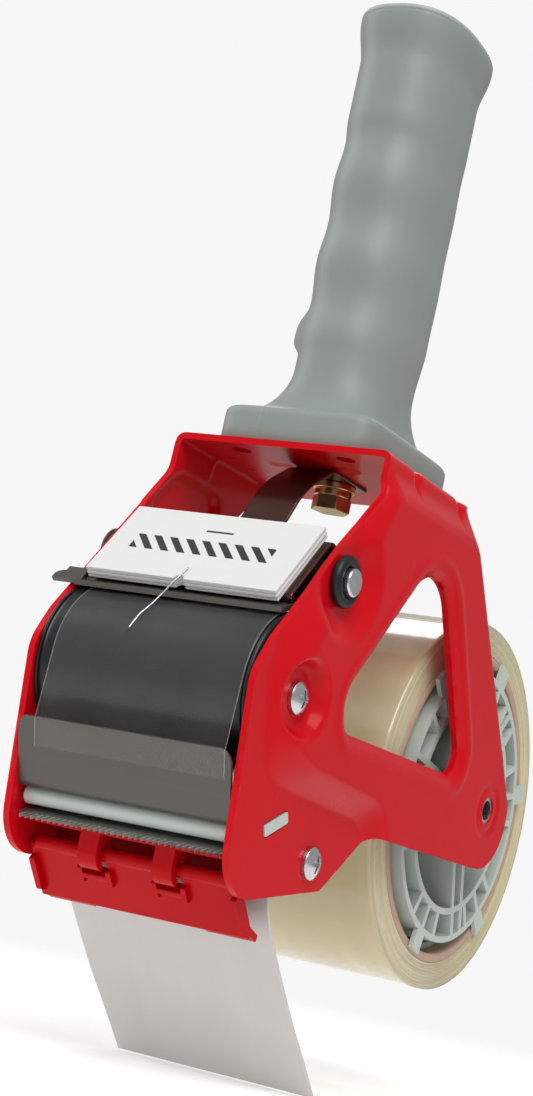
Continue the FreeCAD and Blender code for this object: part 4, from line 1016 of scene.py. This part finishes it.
def build_tape_roll():
    """Wound tape: the side shows the steps between turns, and the outer edge is slightly soft."""
    turns = bpy.context.scene.tape_sizes.tape_turns
    inner, outer, half = 40.32, 47.2, 24.0
    radii = np.linspace(inner + 0.05, outer - 0.2, turns * 3)
    seat = 0.10 * np.sin(np.arange(turns * 3) * 2.1) + 0.06 * np.sin(np.arange(turns * 3) * 0.7)
    side = np.stack([half - 0.2 + seat, radii], -1)
    across = np.linspace(half - 0.08, -half + 0.08, 26)
    face = np.stack([across, np.full(26, outer) - 0.06 * np.cos(across * 0.9) ** 2], -1)
    other = np.stack([-half + 0.2 - seat, radii], -1)[::-1]
    profile = np.concatenate([side, face, other])[::-1]

    def wobble(x, r, angle):
        drift = 0.09 * np.sin(angle * 2 + r * 1.7) + 0.05 * np.sin(angle * 5 + r * 4.0)
        on_side = np.abs(x) > half - 0.35
        return x + np.where(on_side, np.sign(x) * (drift - 0.14), 0.0), r

    revolve("wound_tape", profile, (0.0, 0.0), 200, "wound_tape", "roll", ("tape_roll",), wobble)


def build_core():
    """Cardboard tube with crushed edges."""
    corners = [(-24.0, 38.1, 0.3), (-24.0, 40.3, 0.3), (24.0, 40.3, 0.3), (24.0, 38.1, 0.3)]
    revolve("core_tube", rounded_profile(corners, 2.0), (0.0, 0.0), 160, "core_board", "roll", ("tape_core",))


# ---- operators ------------------------------------------------------------------------------------
class TAPE_OT_frame(bpy.types.Operator):
    """Folded and pressed red frame"""
    bl_idname = "tape.frame"
    bl_label = "Frame"

    def execute(self, context):
        build_frame()
        return {"FINISHED"}


class TAPE_OT_grip(bpy.types.Operator):
    """Grip moulding and its lid"""
    bl_idname = "tape.grip"
    bl_label = "Grip"

    def execute(self, context):
        build_grip()
        return {"FINISHED"}


class TAPE_OT_roller(bpy.types.Operator):
    """Black guide roller"""
    bl_idname = "tape.roller"
    bl_label = "Guide roller"

    def execute(self, context):
        build_roller()
        return {"FINISHED"}


class TAPE_OT_roll(bpy.types.Operator):
    """Tape roll, its core, and the hub with its stud"""
    bl_idname = "tape.roll"
    bl_label = "Roll and hub"

    def execute(self, context):
        build_tape_roll()
        build_core()
        finished_copy("hub", 0.25)
        for name in ("hub_bush", "hub_stud", "brake_washer", "brake_nut"):
            finished_copy(name, 0.2)
        finished_copy("brake_spring", 0.0, sharp=70)
        return {"FINISHED"}


class TAPE_OT_film(bpy.types.Operator):
    """Free run of tape over the roller"""
    bl_idname = "tape.film"
    bl_label = "Tape run"

    def execute(self, context):
        finished_copy("tape_run", 0.0, sharp=60)
        return {"FINISHED"}


class TAPE_OT_cutter(bpy.types.Operator):
    """Blade, holder, guide plate, rod, guard and its carrier"""
    bl_idname = "tape.cutter"
    bl_label = "Cutter"

    def execute(self, context):
        for name in ("blade_holder", "guard_carrier", "blade_guard"):
            finished_copy(name, 0.35, 3)
        finished_copy("blade", 0.06, 1)
        finished_copy("guide_plate", 0.15)
        for name in ("clamp_screws", "idler_rod", "idler_pin"):
            finished_copy(name, 0.2)
        return {"FINISHED"}


class TAPE_OT_flap(bpy.types.Operator):
    """Wiper flap and its clamp"""
    bl_idname = "tape.flap"
    bl_label = "Wiper flap"

    def execute(self, context):
        finished_copy("wiper_flap", 0.2, sharp=60)
        finished_copy("flap_clamp", 0.2)
        return {"FINISHED"}


class TAPE_OT_lever(bpy.types.Operator):
    """Lever plate, bracket, cards and wire"""
    bl_idname = "tape.lever"
    bl_label = "Card lever"

    def execute(self, context):
        finished_copy("lever_plate", 0.25)
        finished_copy("card_bracket", 0.2)
        finished_copy("card_wire", 0.0, sharp=60)
        for index in range(1, 6):
            card = finished_copy("card_%d" % index, 0.08, 1)
        dress(card.data, "printed_card")
        return {"FINISHED"}


class TAPE_OT_hardware(bpy.types.Operator):
    """Bolt, washers, strap, shafts, screws and O-rings"""
    bl_idname = "tape.hardware"
    bl_label = "Hardware"

    def execute(self, context):
        for name in ("grip_bolt", "flat_washer", "spring_washer", "leaf_strap", "roller_axle", "crossbar",
                     "plate_screws", "lever_shaft"):
            finished_copy(name, 0.2)
        finished_copy("shaft_grommets", 0.0, sharp=60)
        return {"FINISHED"}


CAMERA_PLACE = (0.2446, -0.5113, -0.0379)
CAMERA_RIGHT = (0.866, 0.454, 0.208)
CAMERA_UP = (-0.103, -0.245, 0.964)


class TAPE_OT_stage(bpy.types.Operator):
    """Pale round floor that fades into the background, soft lights and the camera"""
    bl_idname = "tape.stage"
    bl_label = "Stage"

    def execute(self, context):
        scene = context.scene
        look = scene.tape_stage
        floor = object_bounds()[0].z - 0.0004
        # round floor, its points closer together in the middle
        run = np.linspace(0.02, 1, 14) ** 1.5 * 0.66
        turn = np.linspace(0, 2 * math.pi, 72, endpoint=False)
        x = run[:, None] * np.cos(turn)
        y = run[:, None] * np.sin(turn)
        z = np.full(x.shape, floor)
        mesh = bpy.data.meshes.new("studio_floor")
        mesh.from_pydata(np.stack([x, y, z], -1).reshape(-1, 3).tolist(), [],
                         grid_faces(len(run), 72, closed_columns=True).tolist() + [tuple(range(71, -1, -1))])
        mesh.shade_smooth()
        mesh.materials.append(finish_named("backdrop"))
        floor_piece = bpy.data.objects.new("studio_floor", mesh)
        scene.collection.objects.link(floor_piece)
        floor_piece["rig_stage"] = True

        world = bpy.data.worlds.new("room")
        world.use_nodes = True
        tree = world.node_tree
        background = tree.nodes["Background"]
        background.inputs["Color"].default_value = (1.0, 1.0, 1.0, 1.0)
        # the background shows white, while the room's even light on the object is dimmer
        path = tree.nodes.new("ShaderNodeLightPath")
        seen = tree.nodes.new("ShaderNodeMapRange")
        seen.inputs["To Min"].default_value = look.world
        seen.inputs["To Max"].default_value = look.background
        tree.links.new(path.outputs["Is Camera Ray"], seen.inputs["Value"])
        tree.links.new(seen.outputs["Result"], background.inputs["Strength"])
        scene.world = world
        for name, place, size, power in (("key", (0.55, -0.75, 0.95), (0.9, 0.9), look.key_power),
                                         ("side", (-0.95, -0.35, 0.45), (0.5, 1.0), look.fill_power),
                                         ("rim", (-0.35, 0.75, 0.95), (0.7, 0.5), look.fill_power)):
            data = bpy.data.lights.new(name, "AREA")
            data.shape = "RECTANGLE"
            data.size, data.size_y = size
            data.energy = power
            light = bpy.data.objects.new(name, data)
            light.location = place
            aim = Vector((0.0, -0.05, 0.03)) - light.location
            light.rotation_mode = "QUATERNION"
            light.rotation_quaternion = aim.to_track_quat("-Z", "Y")
            scene.collection.objects.link(light)

        data = bpy.data.cameras.new("camera")
        data.lens = look.lens
        data.sensor_width = 36.0
        data.clip_start = 0.01
        data.clip_end = 20.0
        camera = bpy.data.objects.new("camera", data)
        right = Vector(CAMERA_RIGHT).normalized()
        up = Vector(CAMERA_UP)
        back = right.cross(up).normalized()
        up = back.cross(right)
        turn = Matrix((right, up, back)).transposed().to_4x4()
        camera.matrix_world = Matrix.Translation(CAMERA_PLACE) @ turn
        scene.collection.objects.link(camera)
        scene.camera = camera
        scene.view_settings.view_transform = "Standard"
        return {"FINISHED"}


PIECES = (TAPE_OT_frame, TAPE_OT_grip, TAPE_OT_roller, TAPE_OT_roll, TAPE_OT_film, TAPE_OT_cutter,
        TAPE_OT_flap,
          TAPE_OT_lever, TAPE_OT_hardware, TAPE_OT_stage)


class TAPE_PT_panel(bpy.types.Panel):
    """Lists the pieces and the settings"""
    bl_idname = "TAPE_PT_panel"
    bl_label = "Tape Dispenser"
    bl_space_type = "VIEW_3D"
    bl_region_type = "UI"
    bl_category = "Tape Dispenser"

    def draw(self, context):
        layout = self.layout
        for group in ("tape_sizes", "tape_colours", "tape_stage"):
            box = layout.box()
            values = getattr(context.scene, group)
            for key in values.__class__.__annotations__:
                box.prop(values, key)
        for operator in PIECES:
            layout.operator(operator.bl_idname)


GROUPS = {"tape_sizes": TAPE_Sizes, "tape_colours": TAPE_Colours, "tape_stage": TAPE_Stage}


def register():
    for kind in tuple(GROUPS.values()) + PIECES + (TAPE_PT_panel,):
        bpy.utils.register_class(kind)
    for name, kind in GROUPS.items():
        setattr(bpy.types.Scene, name, PointerProperty(type=kind))


def unregister():
    for name in GROUPS:
        delattr(bpy.types.Scene, name)
    for kind in (TAPE_PT_panel,) + PIECES[::-1] + tuple(GROUPS.values()):
        bpy.utils.unregister_class(kind)


def main():
    """Builds every piece in order."""
    register()
    for operator in PIECES:
        getattr(bpy.ops.tape, operator.bl_idname.split(".")[1])()


if __name__ == "__main__":
    main()
